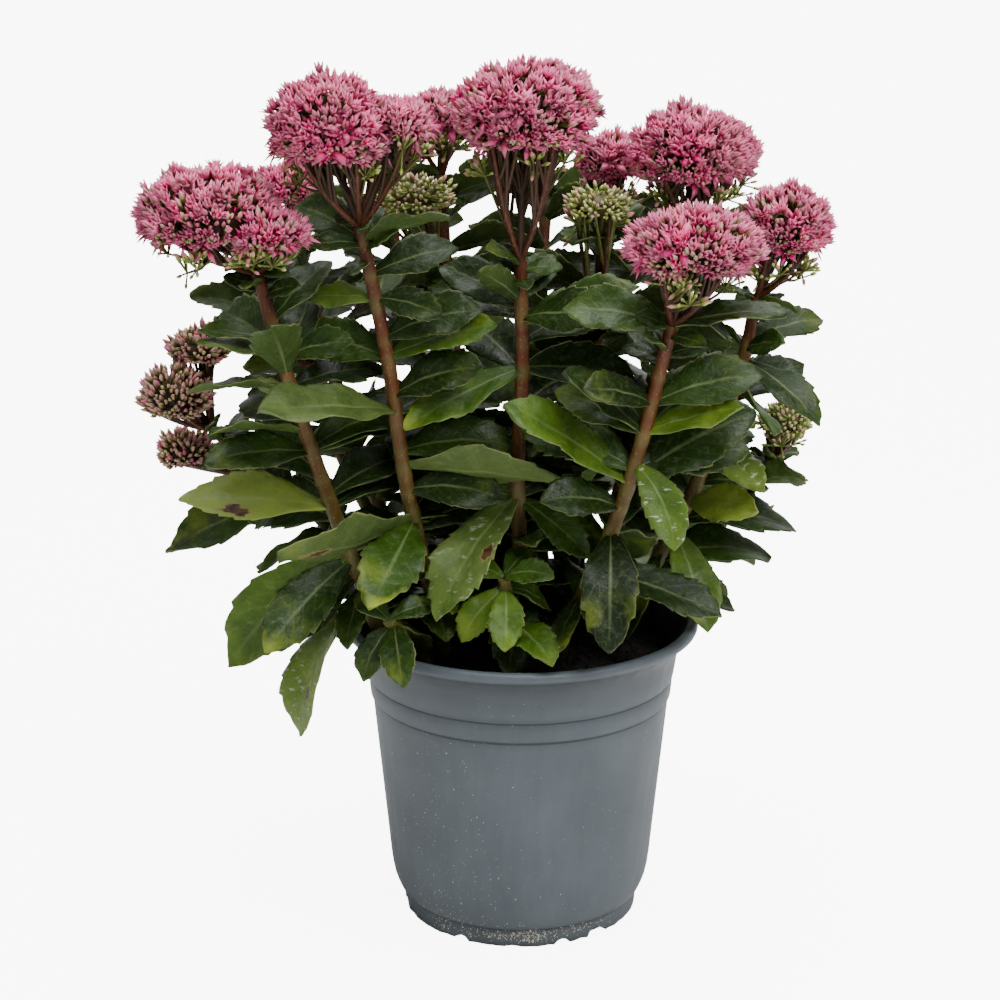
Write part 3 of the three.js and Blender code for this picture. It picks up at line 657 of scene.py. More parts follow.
# The clump: the same stems, shoots, heads and leaf rule as the solids, so each fine piece lies on its own
plant = {
    "seed": 1907, "stemFoot": 4.3, "stemTop": 3.2, "soilFoot": 106, "soilExit": 143,
    "branch": 1.9, "branchSpread": 0.58, "branchEnd": 0.35, "largeDome": 22, "lobes": 6, "lobeWidth": 0.4,
    "leafWidth": 0.24, "shownLeafWidth": 0.2, "leafThickness": 2.2, "fold": 0.18, "sweep": 0.12,
    "roll": 50, "middle": 10, "faceFront": 3,  # blades roll to face out from the middle, mostly to the front
}
pairRule = {  # leaves in opposite pairs: the second number of two is what is added toward the stem's foot
    "start": 12, "spacing": 44, "lowest": 164, "drooped": 150, "bearingSway": 24, "lengthSway": 6,
    "length": (42, 32), "lengthCurve": 0.6, "rise": (34, -30), "droop": (24, 18), "partnerLength": 0.96,
}
rooms = {  # how much room a thing keeps around it, and how low a leaf may hang over soil and rim and outside
    "stem": 6.5, "branch": 4.5, "leaf": 6, "leafFoot": 5, "ownLeafShare": 0.7, "head": 5,
    "soilReach": 66, "overSoil": 6, "overRim": 4, "lowestOutside": 60,
}
stems = {  # paths run from inside the soil up; leaves are height, bearing, length, rise, droop and roll
    "a": {
        "path": [[-58, -14, 106], [-66, -22, 143], [-88, -42, 219], [-104, -49, 275], [-116, -50, 322]],
        "leaves": [[284, 191, 38, 18, 8, -12], [276, 76, 50, 50, 14, -15], [265, 132, 30, 8, 8, 60],
                   [240, 202, 50, 12, 25, -44], [213, 182, 70, 9, 12, -32], [190, 184, 80, -30, 28, -56],
                   [164, 222, 76, -16, 80, 10]],
    },
    "b": {
        "path": [[-34, -6, 106], [-38, -14, 143], [-52, -36, 219], [-60, -44, 283], [-71, -47, 342]],
        "leaves": [[336, 330, 46, 26, 20, -20], [310, 160, 34, 2, 10, -45], [283, 355, 52, 26, 16, 36],
                   [258, 215, 76, 15, 12, -24], [232, 344, 74, 3, 10, -43], [206, 219, 86, -10, -22, 44],
                   [204, 258, 68, -12, 14, -18]],
    },
    "c": {
        "path": [[2, -8, 106], [2, -14, 143], [-2, -30, 219], [0, -34, 273], [-1, -35, 325]],
        "leaves": [[297, 357, 55, 22, 8, 38], [299, 158, 52, 17, 15, -31], [307, 228, 34, 42, 24, 50],
                   [276, 206, 62, -14, 14, -27], [215, 226, 73, -26, 28, -10], [214, 5, 46, -34, 16, 50]],
    },
    "g": {
        "path": [[44, 8, 106], [52, 8, 143], [82, 6, 208], [102, 5, 265], [109, 5, 301]],
        "leaves": [[277, 295, 34, 22, 14, 60], [271, 318, 50, -14, 32, 16],
                   [258, 108, 46, -10, 36, -20], [226, 295, 46, 8, 34, 24], [202, 305, 48, 14, 12, 60],
                   [188, 289, 56, -28, 36, 6]],
    },
    "h": {
        "path": [[16, -12, 106], [20, -22, 143], [38, -50, 198], [51, -60, 243], [64, -70, 303]],
        "leaves": [[229, 184, 68, 40, 12, -32], [253, 196, 48, 44, 10, -40], [253, 344, 46, 24, 12, 36],
                   [238, 306, 46, -18, 60, 34], [183, 343, 62, -6, 20, 24], [158, 246, 38, -6, 16, 24],
                   [204, 268, 64, -14, 56, 10], [302, 350, 50, 20, 24, 18]],
    },
    "d": {"path": [[-14, 22, 106], [-16, 26, 143], [-28, 38, 230], [-36, 46, 310], [-38, 48, 352]]},
    "e": {"path": [[22, 24, 106], [24, 28, 143], [32, 38, 220], [38, 46, 290], [41, 51, 330]]},
    "f": {"path": [[30, 14, 106], [36, 16, 143], [56, 15, 225], [70, 13, 290], [78, 12, 334]]},
    "i": {
        "path": [[-56, 14, 106], [-64, 16, 143], [-94, 21, 186], [-128, 25, 216], [-148, 21, 234]],
        "leaves": [[204, 196, 66, -30, -12, -14]],
        "leafShare": 0.8,
    },
    "k": {"path": [[-42, 22, 106], [-50, 26, 143], [-78, 28, 220], [-98, 24, 290], [-106, 21, 322]]},
    "l": {"path": [[-30, 44, 106], [-32, 48, 143], [-46, 74, 220], [-60, 98, 290], [-66, 106, 330]]},
    "m": {"path": [[4, 50, 106], [5, 54, 143], [8, 80, 220], [12, 112, 300], [14, 124, 342]]},
    "n": {"path": [[34, 44, 106], [38, 48, 143], [58, 70, 220], [80, 94, 280], [93, 104, 322]]},
    "o": {"path": [[-50, 36, 106], [-56, 42, 143], [-84, 60, 200], [-112, 76, 256], [-124, 84, 288]]},
    "r": {
        "path": [[54, 26, 106], [62, 28, 143], [92, 34, 176], [114, 36, 202], [122, 34, 216]],
        "leafShare": 0.7,
    },
}
shoots = {  # short leafy shoots at the foot of the clump
    "shoot_1": {"foot": [-5, -42], "tip": [-8, -55, 184], "leaves": 7, "length": 34},
    "shoot_2": {"foot": [-46, -34], "tip": [-60, -62, 166], "leaves": 5, "length": 34},
    "shoot_3": {"foot": [18, 60], "tip": [26, 76, 176], "leaves": 5, "length": 36},
}
shootRings = [(0.93, 1, -20), (1.0, 0.8, 30)]  # outer and inner leaves: share up the shoot, size and rise
shootDroop = 40
heads = {  # stem, kind, domes of x, y, height, half width, half depth, rise and drop, and where it forks
    "head_a": ("a", "pink", [[-136, -50, 343, 35, 29, 28, 15], [-110, -64, 340, 21, 17, 13, 10]], None),
    "head_b": ("b", "pink", [[-83, -52, 380, 29, 26, 29, 15], [-54, -46, 384, 17, 16, 15, 9]], None),
    "head_c": ("c", "pink", [[0, -35, 384, 33, 30, 29, 17]], None),
    "head_d": ("d", "pink", [[-38, 48, 378, 21, 20, 15, 10]], None),
    "head_e": ("e", "pink", [[42, 54, 356, 18, 18, 18, 11]], None),
    "head_f": ("f", "pink", [[77, 12, 364, 30, 27, 26, 18]], None),
    "head_g": ("g", "pink", [[122, 4, 331, 23, 22, 24, 15]], None),
    "head_h": ("h", "pink", [[72, -75, 334, 32, 27, 22, 13]], None),
    "head_i": ("i", "dusty", [[-163, 10, 250, 19, 17, 20, 12], [-153, 20, 272, 16, 15, 13, 9]], None),
    "head_i_low": ("i", "dusty", [[-163, 34, 218, 15, 14, 14, 9]], 208),
    "head_k": ("k", "pink", [[-108, 20, 348, 20, 19, 15, 10]], None),
    "head_l": ("l", "pink", [[-67, 108, 360, 29, 27, 24, 14]], None),
    "head_m": ("m", "pink", [[14, 127, 374, 30, 28, 26, 15]], None),
    "head_n": ("n", "pink", [[96, 106, 352, 27, 26, 23, 14]], None),
    "head_o": ("o", "pink", [[-128, 86, 314, 22, 21, 19, 12]], None),
    "buds_d": ("d", "green", [[-49, 6, 346, 20, 14, 12, 8]], 305),
    "buds_e": ("e", "green", [[35, 8, 342, 17, 14, 11, 8]], 285),
    "buds_k": ("k", "dusty", [[-122, -8, 288, 12, 11, 8, 6]], 262),
    "buds_r": ("r", "green", [[128, 32, 234, 15, 13, 12, 8]], None),
}
allDomes = [dome for _, _, domes, _ in heads.values() for dome in domes]


def makeRandom(start):  # the same plain random numbers as the solids use
    state = [start]

    def draw():
        state[0] = (state[0] * 1664525 + 1013904223) % 2**32
        return state[0] / 2**32

    return draw


class SmoothPath:  # the smooth curve through a stem's points
    def __init__(self, path):
        points = np.array(path, float)
        self.points = np.vstack([2 * points[0] - points[1], points, 2 * points[-1] - points[-2]])
        self.last = len(points) - 1

    def at(self, t):
        place = self.last * t
        start = min(int(math.floor(place)), self.last - 1)
        u = place - start
        before, one, two, after = self.points[start : start + 4]
        leave, arrive = 0.5 * (two - before), 0.5 * (after - one)
        bend = 2 * one - 2 * two + leave + arrive
        return bend * u**3 + (-3 * one + 3 * two - 2 * leave - arrive) * u**2 + leave * u + one

    def shareAt(self, height):
        low, high = 0.0, 1.0
        for _ in range(30):
            middle = (low + high) / 2
            if self.at(middle)[2] < height:
                low = middle
            else:
                high = middle
        return low


class Bend:  # a branch or twig that arches from its start to its end
    def __init__(self, start, middle, end):
        self.ends = [np.array(p, float) for p in (start, middle, end)]

    def at(self, t):
        start, middle, end = self.ends
        return (1 - t) ** 2 * start + 2 * t * (1 - t) * middle + t * t * end

    def line(self, steps):
        return [self.at(share) for share in np.linspace(0, 1, steps + 1)]


def branchBends(fork, dome):  # branches from the fork to the underside of a dome
    x, y, z, wide, deep, _, drop = dome
    count = 4 if wide > plant["largeDome"] else 3
    bends = []
    for index in range(count):
        turn = (index + 0.5) / count * fullTurn
        spread = plant["branchSpread"]
        end = np.array([x + spread * wide * math.cos(turn), y + spread * deep * math.sin(turn),
                        z - plant["branchEnd"] * drop])
        bends.append(Bend(fork, fork * (0.45, 0.45, 0.7) + end * (0.55, 0.55, 0.3), end))
    return bends


def domeSize(dome, above):  # half width, half depth, and the rise or drop of a dome for each point
    wide, deep, rise, drop = dome[3:]
    ones = np.ones(len(above))
    return np.stack([wide * ones, deep * ones, np.where(above, rise, drop)], axis=1)


def leafWidth(leaf, s):  # half the blade's width, s from base to tip
    share = plant["shownLeafWidth"] if leaf.get("shown") else plant["leafWidth"]
    return leaf["length"] * share * (0.13 * (1 - s) + 0.95 * np.maximum(np.sin(np.pi * s**1.3), 0) ** 0.8)


def leafPoints(leaf, s, flat, raised):  # s from base to tip, flat across the blade, raised above its middle
    bearing, rise, droop, roll = (math.radians(leaf[key]) for key in ("bearing", "rise", "droop", "roll"))
    angle = rise - droop * s
    height = flat * math.sin(roll) + raised * math.cos(roll)
    sideways = flat * math.cos(roll) - raised * math.sin(roll) + leaf["sweep"] * leaf["length"] * s * s
    outward = leaf["length"] * (math.sin(rise) - np.sin(angle)) / droop - height * np.sin(angle)
    upward = leaf["length"] * (np.cos(angle) - math.cos(rise)) / droop + height * np.cos(angle)
    x, y, z = leaf["base"]
    return np.stack([
        x + outward * math.cos(bearing) - sideways * math.sin(bearing),
        y + outward * math.sin(bearing) + sideways * math.cos(bearing),
        z + upward,
    ], axis=-1)


# A wanted leaf is tried as it is, then turned, tilted or shortened, until it is clear of all around it
trials = [  # turn, tilt and share of the length
    (0, 0, 1), (10, 0, 1), (-10, 0, 1), (0, 10, 1), (0, -10, 1), (20, 8, 0.95), (-20, 8, 0.95),
    (20, -8, 0.95), (-20, -8, 0.95), (34, 0, 0.9), (-34, 0, 0.9), (0, 20, 0.9), (0, -20, 0.9),
    (0, 0, 0.75), (28, 0, 0.75), (-28, 0, 0.75), (48, 8, 0.75), (-48, 8, 0.75),
]
sampleRows, sampleColumns = np.meshgrid(np.arange(2, 15) / 14, 1.1 * np.arange(-3, 4) / 3, indexing="ij")
sampleRows, sampleColumns = sampleRows.ravel(), sampleColumns.ravel()
footSamples = 28  # the four rows of seven samples nearest to the stem
taken = {"points": [], "owners": [], "rooms": [], "count": 0}


def takeRoom(points, owner, room):
    taken["points"] += list(points)
    taken["owners"] += [owner] * len(points)
    taken["rooms"] += [room] * len(points)


def isClear(samples, owner, ease):
    radius = np.hypot(samples[:, 0], samples[:, 1])
    floor = np.select([radius < rooms["soilReach"], radius < pot["rim"] + rooms["overRim"]],
                      [soil["height"] + rooms["overSoil"], pot["height"] + rooms["overRim"]],
                      rooms["lowestOutside"])
    if (samples[:, 2] < floor).any():
        return False
    for dome in allDomes:
        size = domeSize(dome, samples[:, 2] > dome[2]) + rooms["head"] * ease
        if ((((samples - dome[:3]) / size) ** 2).sum(1) < 1).any():
            return False
    points, owners, reach = taken["arrays"]
    ownReach = np.where(reach == rooms["leaf"], rooms["leaf"] * rooms["ownLeafShare"], 0)
    reach = np.where(owners == owner, ownReach, reach) * ease
    far = rooms["stem"] + 0.5  # nothing farther away than this can touch
    near = ((points > samples.min(0) - far) & (points < samples.max(0) + far)).all(1)
    gaps = ((samples[:, None, :] - points[near][None, :, :]) ** 2).sum(-1)
    return not (gaps < reach[near] ** 2).any()


def placeLeaf(stalk, wanted, ease=1.0, tries=len(trials)):
    if len(taken["points"]) != taken["count"]:
        taken["arrays"] = [np.array(taken[key]) for key in ("points", "owners", "rooms")]
        taken["count"] = len(taken["points"])
    for turn, tilt, share in trials[:tries]:
        bearing = wanted["bearing"] + turn
        heading = math.radians(bearing)
        x, y, _ = unit((wanted["base"][0], (wanted["base"][1] - plant["middle"]) * plant["faceFront"], 0))
        roll = wanted.get("roll", -plant["roll"] * (y * math.cos(heading) - x * math.sin(heading)))
        leaf = {**wanted, "bearing": bearing, "roll": roll, "rise": wanted["rise"] + tilt,
                "length": wanted["length"] * share}
        flat = sampleColumns * leafWidth(leaf, sampleRows)
        samples = leafPoints(leaf, sampleRows, flat, plant["fold"] * np.abs(flat))
        if isClear(samples, stalk["name"], ease):
            takeRoom(samples[:footSamples], stalk["name"], rooms["leafFoot"])
            takeRoom(samples[footSamples:], stalk["name"], rooms["leaf"])
            stalk["leaves"].append(leaf)
            return


def raiseStalks():
    raised = {}
    for name, stem in stems.items():
        curve = SmoothPath(stem["path"])
        bends = {}
        for headName, (owner, _, domes, forkHeight) in heads.items():
            if owner == name:
                fork = curve.at(curve.shareAt(forkHeight) if forkHeight else 1)
                bends[headName] = [branchBends(fork, dome) for dome in domes]
        raised[name] = {"name": name, "node": "stem_" + name, "curve": curve, "bends": bends, "leaves": [],
                        "shown": stem.get("leaves", []), "leafShare": stem.get("leafShare", 1),
                        "top": stem["path"][-1][2]}
    for name, shoot in shoots.items():
        path = [[*shoot["foot"], plant["soilFoot"]], [*shoot["foot"], plant["soilExit"]], shoot["tip"]]
        raised[name] = {"name": name, "node": name, "curve": SmoothPath(path), "bends": {}, "leaves": []}
    for stalk in raised.values():
        takeRoom([stalk["curve"].at(step / 40) for step in range(4, 41)], stalk["name"], rooms["stem"])
        for domes in stalk["bends"].values():
            for bend in (bend for bends in domes for bend in bends):
                takeRoom(bend.line(10)[1:], stalk["name"], rooms["branch"])
    return raised


def wish(stalk, share, bearing, length, rise, droop, sweep, **marks):
    return {"base": stalk["curve"].at(share), "bearing": bearing, "length": length, "rise": rise,
            "droop": droop, "sweep": sweep, **marks}


def downStem(values, low):  # the value at the stem's top, and what is added toward its foot
    return values[0] + values[1] * low


def lowness(stalk, height):  # 0 at the stem's top, and 1 at its lowest leaves
    return (stalk["top"] - height) / (stalk["top"] - pairRule["drooped"])


def layOutPlant():
    draw = makeRandom(plant["seed"])
    grown = [stalks[name] for name in stems]

    def sway(most):
        return most * (draw() - 0.5)

    for stalk in grown:
        for height, *shape, roll in stalk["shown"]:
            placeLeaf(stalk, wish(stalk, stalk["curve"].shareAt(height), *shape, sway(plant["sweep"]),
                                  roll=roll, shown=True))
    for name, shoot in shoots.items():
        for order in range(shoot["leaves"]):
            share, size, rise = shootRings[order % 2]
            bearing = 270 + order * 360 / shoot["leaves"] + 10 * draw()
            placeLeaf(stalks[name], wish(stalks[name], share, bearing, shoot["length"] * size, rise,
                                         shootDroop, sway(plant["sweep"])))
    for stalk in grown:
        for height, bearing, length, rise, droop, _ in stalk["shown"]:
            placeLeaf(stalk, wish(
                stalk, stalk["curve"].shareAt(height), bearing + 180, length * pairRule["partnerLength"],
                max(rise, 0), max(droop, pairRule["droop"][0]), sway(plant["sweep"])))
        if len(stalk["shown"]) > 1:
            continue
        start, turn, height = 360 * draw(), 0, stalk["top"] - pairRule["start"]
        while height > pairRule["lowest"]:
            low = lowness(stalk, height)
            for half in (0, 180):
                bearing = start + turn + half + sway(pairRule["bearingSway"])
                length = downStem(pairRule["length"], low ** pairRule["lengthCurve"])
                length = stalk["leafShare"] * (length + sway(pairRule["lengthSway"]))
                placeLeaf(stalk, wish(
                    stalk, stalk["curve"].shareAt(height), bearing, length,
                    downStem(pairRule["rise"], low), downStem(pairRule["droop"], low), sway(plant["sweep"])))
            turn += 90
            height -= pairRule["spacing"]


def countLeaves():
    return sum(len(stalk["leaves"]) for stalk in stalks.values())


stalks = raiseStalks()
layOutPlant()
outerLeaves = countLeaves()
print("leaves laid out:", outerLeaves)


# More leaves inside the clump, and small bract leaves under the heads
fillers = {
    "seed": 41, "start": 22, "spacing": 14, "denser": 0.7, "denseBelow": 240, "lowest": 146, "ease": 0.5,
    "length": (42, 28), "lengthShare": 0.92, "rise": (36, -34), "droop": (24, 22), "sweep": 0.08,
    "openFront": -0.15,  # the five front stems grow no inner leaf whose bearing has a sine below this
}
bracts = {"count": 7, "length": 18, "droop": 30, "spacing": 0.012, "turn": 137, "ease": 0.25, "tries": 9}
strayEase = 0.3
strays = [  # smaller leaves low at the front and left: stem, height, bearing, length, rise and roll
    ("a", 186, 225, 62, -20, -45), ("a", 178, 215, 44, -30, -40), ("a", 172, 260, 38, -10, 10),
    ("a", 290, 190, 36, 14, -20), ("a", 270, 170, 46, 10, 10), ("a", 250, 200, 44, 6, 15),
    ("i", 200, 205, 68, -5, -30), ("shoot_1", 160, 276, 48, -4, 12), ("c", 176, 262, 58, -18, -10),
    ("c", 192, 283, 36, 5, 15), ("g", 176, 235, 54, -20, 20), ("h", 172, 282, 42, -6, -15),
    ("h", 168, 250, 40, -10, 20), ("b", 168, 262, 44, -14, 10), ("b", 180, 285, 36, -10, -20),
]


def addFillers():
    draws = np.random.default_rng(fillers["seed"])
    for name, height, bearing, length, rise, roll in strays:
        share, droop = stalks[name]["curve"].shareAt(height), fillers["droop"][0]
        wanted = wish(stalks[name], share, bearing, length, rise, droop, 0.0, roll=roll, shown=True)
        placeLeaf(stalks[name], wanted, strayEase)
    for stalk in (stalks[name] for name in stems):
        start, turn, height = draws.uniform(0, 360), 45, stalk["top"] - fillers["start"]
        while height > fillers["lowest"]:
            low = lowness(stalk, height)
            for half in (0, 180):
                bearing = start + turn + half + draws.uniform(-20, 20)
                length = downStem(fillers["length"], low ** pairRule["lengthCurve"]) + draws.uniform(-6, 6)
                length *= stalk["leafShare"] * fillers["lengthShare"]
                rise = downStem(fillers["rise"], low) + draws.uniform(-8, 8)
                sweep = draws.uniform(-fillers["sweep"], fillers["sweep"])
                wanted = wish(stalk, stalk["curve"].shareAt(height), bearing, length, rise,
                              downStem(fillers["droop"], low), sweep, inner=True)
                front = len(stalk["shown"]) > 1 and math.sin(math.radians(bearing)) < fillers["openFront"]
                if not front:
                    placeLeaf(stalk, wanted, fillers["ease"])
            turn += 90
            denser = fillers["denser"] if height < fillers["denseBelow"] else 1
            height -= fillers["spacing"] * draws.uniform(0.85, 1.15) * denser
        for index in range(bracts["count"]):
            length, rise = bracts["length"] * draws.uniform(0.7, 1.4), draws.uniform(10, 50)
            wanted = wish(stalk, 1 - bracts["spacing"] * index, start + index * bracts["turn"], length, rise,
                          bracts["droop"], 0.0, bract=True)
            placeLeaf(stalk, wanted, bracts["ease"], bracts["tries"])


addFillers()
print("inner leaves and bracts added:", countLeaves() - outerLeaves)


# Leaves: fleshy blades with forward teeth, a rounded margin, a sunken midrib and a slight wave
leafLook = {
    "teeth": 5, "toothDepth": 0.05, "teethStart": 0.31, "teethSpan": 0.62,
    "toothSteps": [-1.1, -0.25, 0.45, 1.15],  # how far the margin stands out along one tooth
    "blunt": 0.1, "wave": 0.026, "rumple": 0.5, "rib": 0.25, "ribWidth": 0.16, "tipThinning": 0.35,
    "moreFold": 0.09, "foldSoftness": 1.2, "phases": 6.28, "seed": 77,
}
plainRows = [0.0, 0.06, 0.13, 0.2, 0.27]
tipRows = [0.945, 0.965, 0.983, 0.995]
fineRing = np.array([-1, -0.93, -0.72, -0.38, 0, 0.38, 0.72, 0.93,
                     1, 0.93, 0.72, 0.38, 0, -0.38, -0.72, -0.93])
innerRing = np.array([-1, -0.85, -0.4, 0, 0.4, 0.85, 1, 0.85, 0, -0.85])
# inner leaves get a lower tint: painted shade inside the clump
leafTone = {
    "tint": 0.2, "tintRange": 0.3, "inner": -0.08, "young": -0.1, "youngFrom": 200, "youngSpan": 200,
    "ripe": 0.5, "ripeLow": 1.1, "ripeBelow": 210, "scuff": 0.05,
    "shoots": {"shoot_1": 0.22, "shoot_2": 0.05},
}
scarred = {  # leaves that the photo shows damaged, by stem and order: place along and across, size
    "a4": (0.62, 0.6, 0.2), "b5": (0.72, -0.2, 0.22), "a6": (0.7, 0.4, 0.12), "c4": (0.5, 0.7, 0.14),
}
scuffed = {"g3": 0.6, "h3": 0.9, "a6": 0.4, "c4": 0.3}
toned = {  # how much lighter or darker than its neighbours a leaf is, and how bloomy
    "a0": (0.2, 0.2), "a2": (0.5, 0.5), "a4": (0.7, 0.5), "a5": (0.35, 0.1), "a6": (0.4, 0.4),
    "b1": (0.5, 0.2), "b2": (0.15, 0), "b3": (0.2, 0.4), "b4": (0.1, 0.4), "b5": (0.0, 0.25), "b6": (0.25, 0),
    "c1": (-0.2, 0), "c2": (-0.15, 0), "c3": (0.2, 0), "c4": (0.3, 0.5),
    "g3": (0.5, 0.3), "g4": (0.7, 0.3), "g5": (0.2, 0.1),
    "h0": (0.3, 0), "h2": (0.35, 0), "h3": (0.35, 0.1), "h4": (-0.1, 0), "h5": (0.8, 0.2), "h6": (-0.35, 0),
}


def bladeOf(leaf, draws):
    teeth = 2 if leaf.get("bract") else leafLook["teeth"] + int(draws.integers(-1, 2))
    count = 4 * teeth
    toothRows = [leafLook["teethStart"] + leafLook["teethSpan"] * (step + 0.5) / count
                 for step in range(count)]
    rows = np.array(plainRows + toothRows + tipRows)
    around = innerRing if leaf.get("inner") or leaf.get("bract") else fineRing
    side = np.where(np.arange(len(around)) < around.argmax(), 1, -1) * (np.abs(around) < 1)  # above or below
    depth = leafLook["toothDepth"] * draws.uniform(0.7, 1.25)
    left, right = np.zeros(len(rows)), np.zeros(len(rows))
    for step in range(count):
        for margin, shift in ((left, 0), (right, 2)):
            tooth = leafLook["toothSteps"][(step + shift) % 4]
            margin[len(plainRows) + step] = tooth * depth * draws.uniform(0.6, 1.3)
    s = rows[:, None]
    across = around[None, :]
    edge = np.abs(across) ** 6
    tooth = np.where(across > 0, left[:, None], right[:, None]) * edge
    blunt = 1 + leafLook["blunt"] * np.clip((s - 0.7) / 0.27, 0, 1)  # a rounder tip than a plain taper gives
    flat = across * leafWidth(leaf, s) * blunt * (1 + tooth)
    along = np.clip(s + 0.2 * tooth * edge, 0, 0.999)
    thickness = plant["leafThickness"] / 2 * (1 - leafLook["tipThinning"] * s)
    groove = leafLook["rib"] * np.exp(-((across / leafLook["ribWidth"]) ** 2)) * (1 - s) ** 0.5
    lift = side * thickness * np.sqrt(np.maximum(1 - np.abs(across) ** 4, 0)) - groove
    softFold = np.sqrt(flat**2 + leafLook["foldSoftness"]) - 1.1
    phase, beat = draws.uniform(0, leafLook["phases"]), draws.uniform(1.3, 2.2)
    swing = np.sin(fullTurn * beat * s + phase + 1.3 * np.sign(across))
    wave = leafLook["wave"] * leaf["length"] * swing * across**2
    turns = draws.uniform(0, leafLook["phases"], 2)
    rumple = np.sin(21 * s + turns[0] + 2 * across) * np.sin(5 * across + turns[1] + 4 * s)
    ripple = (wave + leafLook["rumple"] * rumple) * np.minimum(s * 3, 1)
    raised = (plant["fold"] + leafLook["moreFold"]) * softFold + lift + ripple
    shape = flat.shape
    ends = [leafPoints(leaf, np.array(place), np.array(0.0), np.array(0.0)) for place in (0.0, 1.0)]
    return {
        "points": np.vstack([leafPoints(leaf, along, flat, raised).reshape(-1, 3), *ends]),
        "along": np.append(np.broadcast_to(s, shape), [0, 1]),
        "across": np.append(np.broadcast_to(across, shape), [0, 0]),
        "upper": np.append(np.broadcast_to(side > -0.5, shape).astype(float), [1, 1]),
        "rows": len(rows), "around": len(around),
    }


def ringFaces(rows, across, start):  # rings of points closed by a first and a last one
    faces = []
    for row in range(rows - 1):
        here, there = start + row * across, start + (row + 1) * across
        faces += [(here + k, there + k, there + (k + 1) % across, here + (k + 1) % across)
                  for k in range(across)]
    end, first = start + (rows - 1) * across, start + rows * across
    faces += [(first, start + k, start + (k + 1) % across) for k in range(across)]
    faces += [(first + 1, end + (k + 1) % across, end + k) for k in range(across)]
    return faces


def makeLeaves(stalk, draws):
    points, faces, total = [], [], 0
    marks = {key: [] for key in leafMarks}
    for order, leaf in enumerate(stalk["leaves"]):
        made = bladeOf(leaf, draws)
        count = len(made["points"])
        faces += ringFaces(made["rows"], made["around"], total)
        points.append(made["points"])
        total += count
        label = stalk["name"] + str(order)
        height = leaf["base"][2]
        young = min(max((height - leafTone["youngFrom"]) / leafTone["youngSpan"], 0), 1)
        lighter, made["bloom"] = toned.get(label, (0, 0))
        tint = leafTone["tint"] + leafTone["tintRange"] * draws.uniform() + leafTone["young"] * young
        tint += lighter + leafTone["shoots"].get(stalk["name"], 0)
        # inner leaves are tinted darker: painted shade inside the clump
        made["tint"] = tint + leafTone["inner"] if leaf.get("inner") else tint
        ripe = "ripeLow" if height < leafTone["ripeBelow"] else "ripe"
        made["ripe"] = leafTone[ripe] * draws.uniform() ** 2
        made["scuff"] = scuffed.get(label, leafTone["scuff"])
        made["scar"] = -1.0
        if label in scarred:
            s, u, size = scarred[label]
            away = np.hypot(made["along"] - s, (made["across"] - u) * 0.35)
            made["scar"] = np.clip(1 - away / size, -1, 1)
        for key in leafMarks:
            marks[key].append(np.broadcast_to(made[key], count))
    return makeMesh("leavesOf_" + stalk["name"], np.vstack(points), faces, [blade],
                    {key: np.concatenate(values) for key, values in marks.items()})


# Stalks: tapered stems with swollen leaf joints, and the branches that carry each head
stalkLook = {
    "steps": 64, "sides": 10, "jointLength": 2.2, "jointSwell": 0.1, "jointPale": 0.35,
    "tanBelow": 160, "tanFade": 180, "branchSteps": 10,
}


def lineMesh(name, lines):  # each line is points, radii, levels of colour and marks of joints
    points, edges, radii, levels, joints = [], [], [], [], []
    for line, thickness, level, joint in lines:
        start = len(points)
        points += [list(point) for point in line]
        edges += [(start + step, start + step + 1) for step in range(len(line) - 1)]
        radii += [float(value) * mm for value in thickness]
        levels += [float(value) for value in level]
        joints += [float(value) for value in joint]
    return makeMesh(name, points, [], [], {"radius": radii, "level": levels, "joint": joints}, edges)


def taperedLine(bend, steps, radius, thinning, level, rise):  # a branch or twig as such a line, no joints
    t = np.linspace(0, 1, steps + 1)
    return bend.line(steps), radius - thinning * t, level + rise * t, 0 * t


def makeStalk(stalk):
    shares = np.linspace(0, 1, stalkLook["steps"] + 1)
    line = np.array([stalk["curve"].at(share) for share in shares])
    joint = np.zeros(len(line))
    for leaf in stalk["leaves"]:
        if not leaf.get("bract"):
            away = (line[:, 2] - leaf["base"][2]) / stalkLook["jointLength"]
            joint = np.maximum(joint, np.exp(-(away**2)))
    taper = plant["stemFoot"] + (plant["stemTop"] - plant["stemFoot"]) * shares
    thickness = taper * (1 - stalkLook["jointSwell"] + stalkLook["jointSwell"] * joint)
    level = np.clip((line[:, 2] - stalkLook["tanBelow"]) / stalkLook["tanFade"], 0, 1)
    lines = [(line, thickness, level, joint * stalkLook["jointPale"])]
    for domes in stalk["bends"].values():
        for bend in (bend for bends in domes for bend in bends):
            thick = plant["branch"]
            # the branches take the dark top of the stem colours: partly their own red-brown, partly painted
            # shade under the heads
            lines.append(taperedLine(bend, stalkLook["branchSteps"], 0.78 * thick, 0.33 * thick, 0.9, 0.1))
    values = {"Sides": stalkLook["sides"], "Material": bark}
    return growPiece("stalkOf_" + stalk["name"], lineMesh("stalkLines", lines), tubeTree, values)


def makeLeafyStems():
    draws = np.random.default_rng(leafLook["seed"])
    for name, stalk in stalks.items():
        piece = joinPieces("leafyStem_" + name, [makeStalk(stalk), makeLeaves(stalk, draws)])
        dress(piece, "leafy_stem", stalk["node"])


makeLeafyStems()
print("leafy stems made")


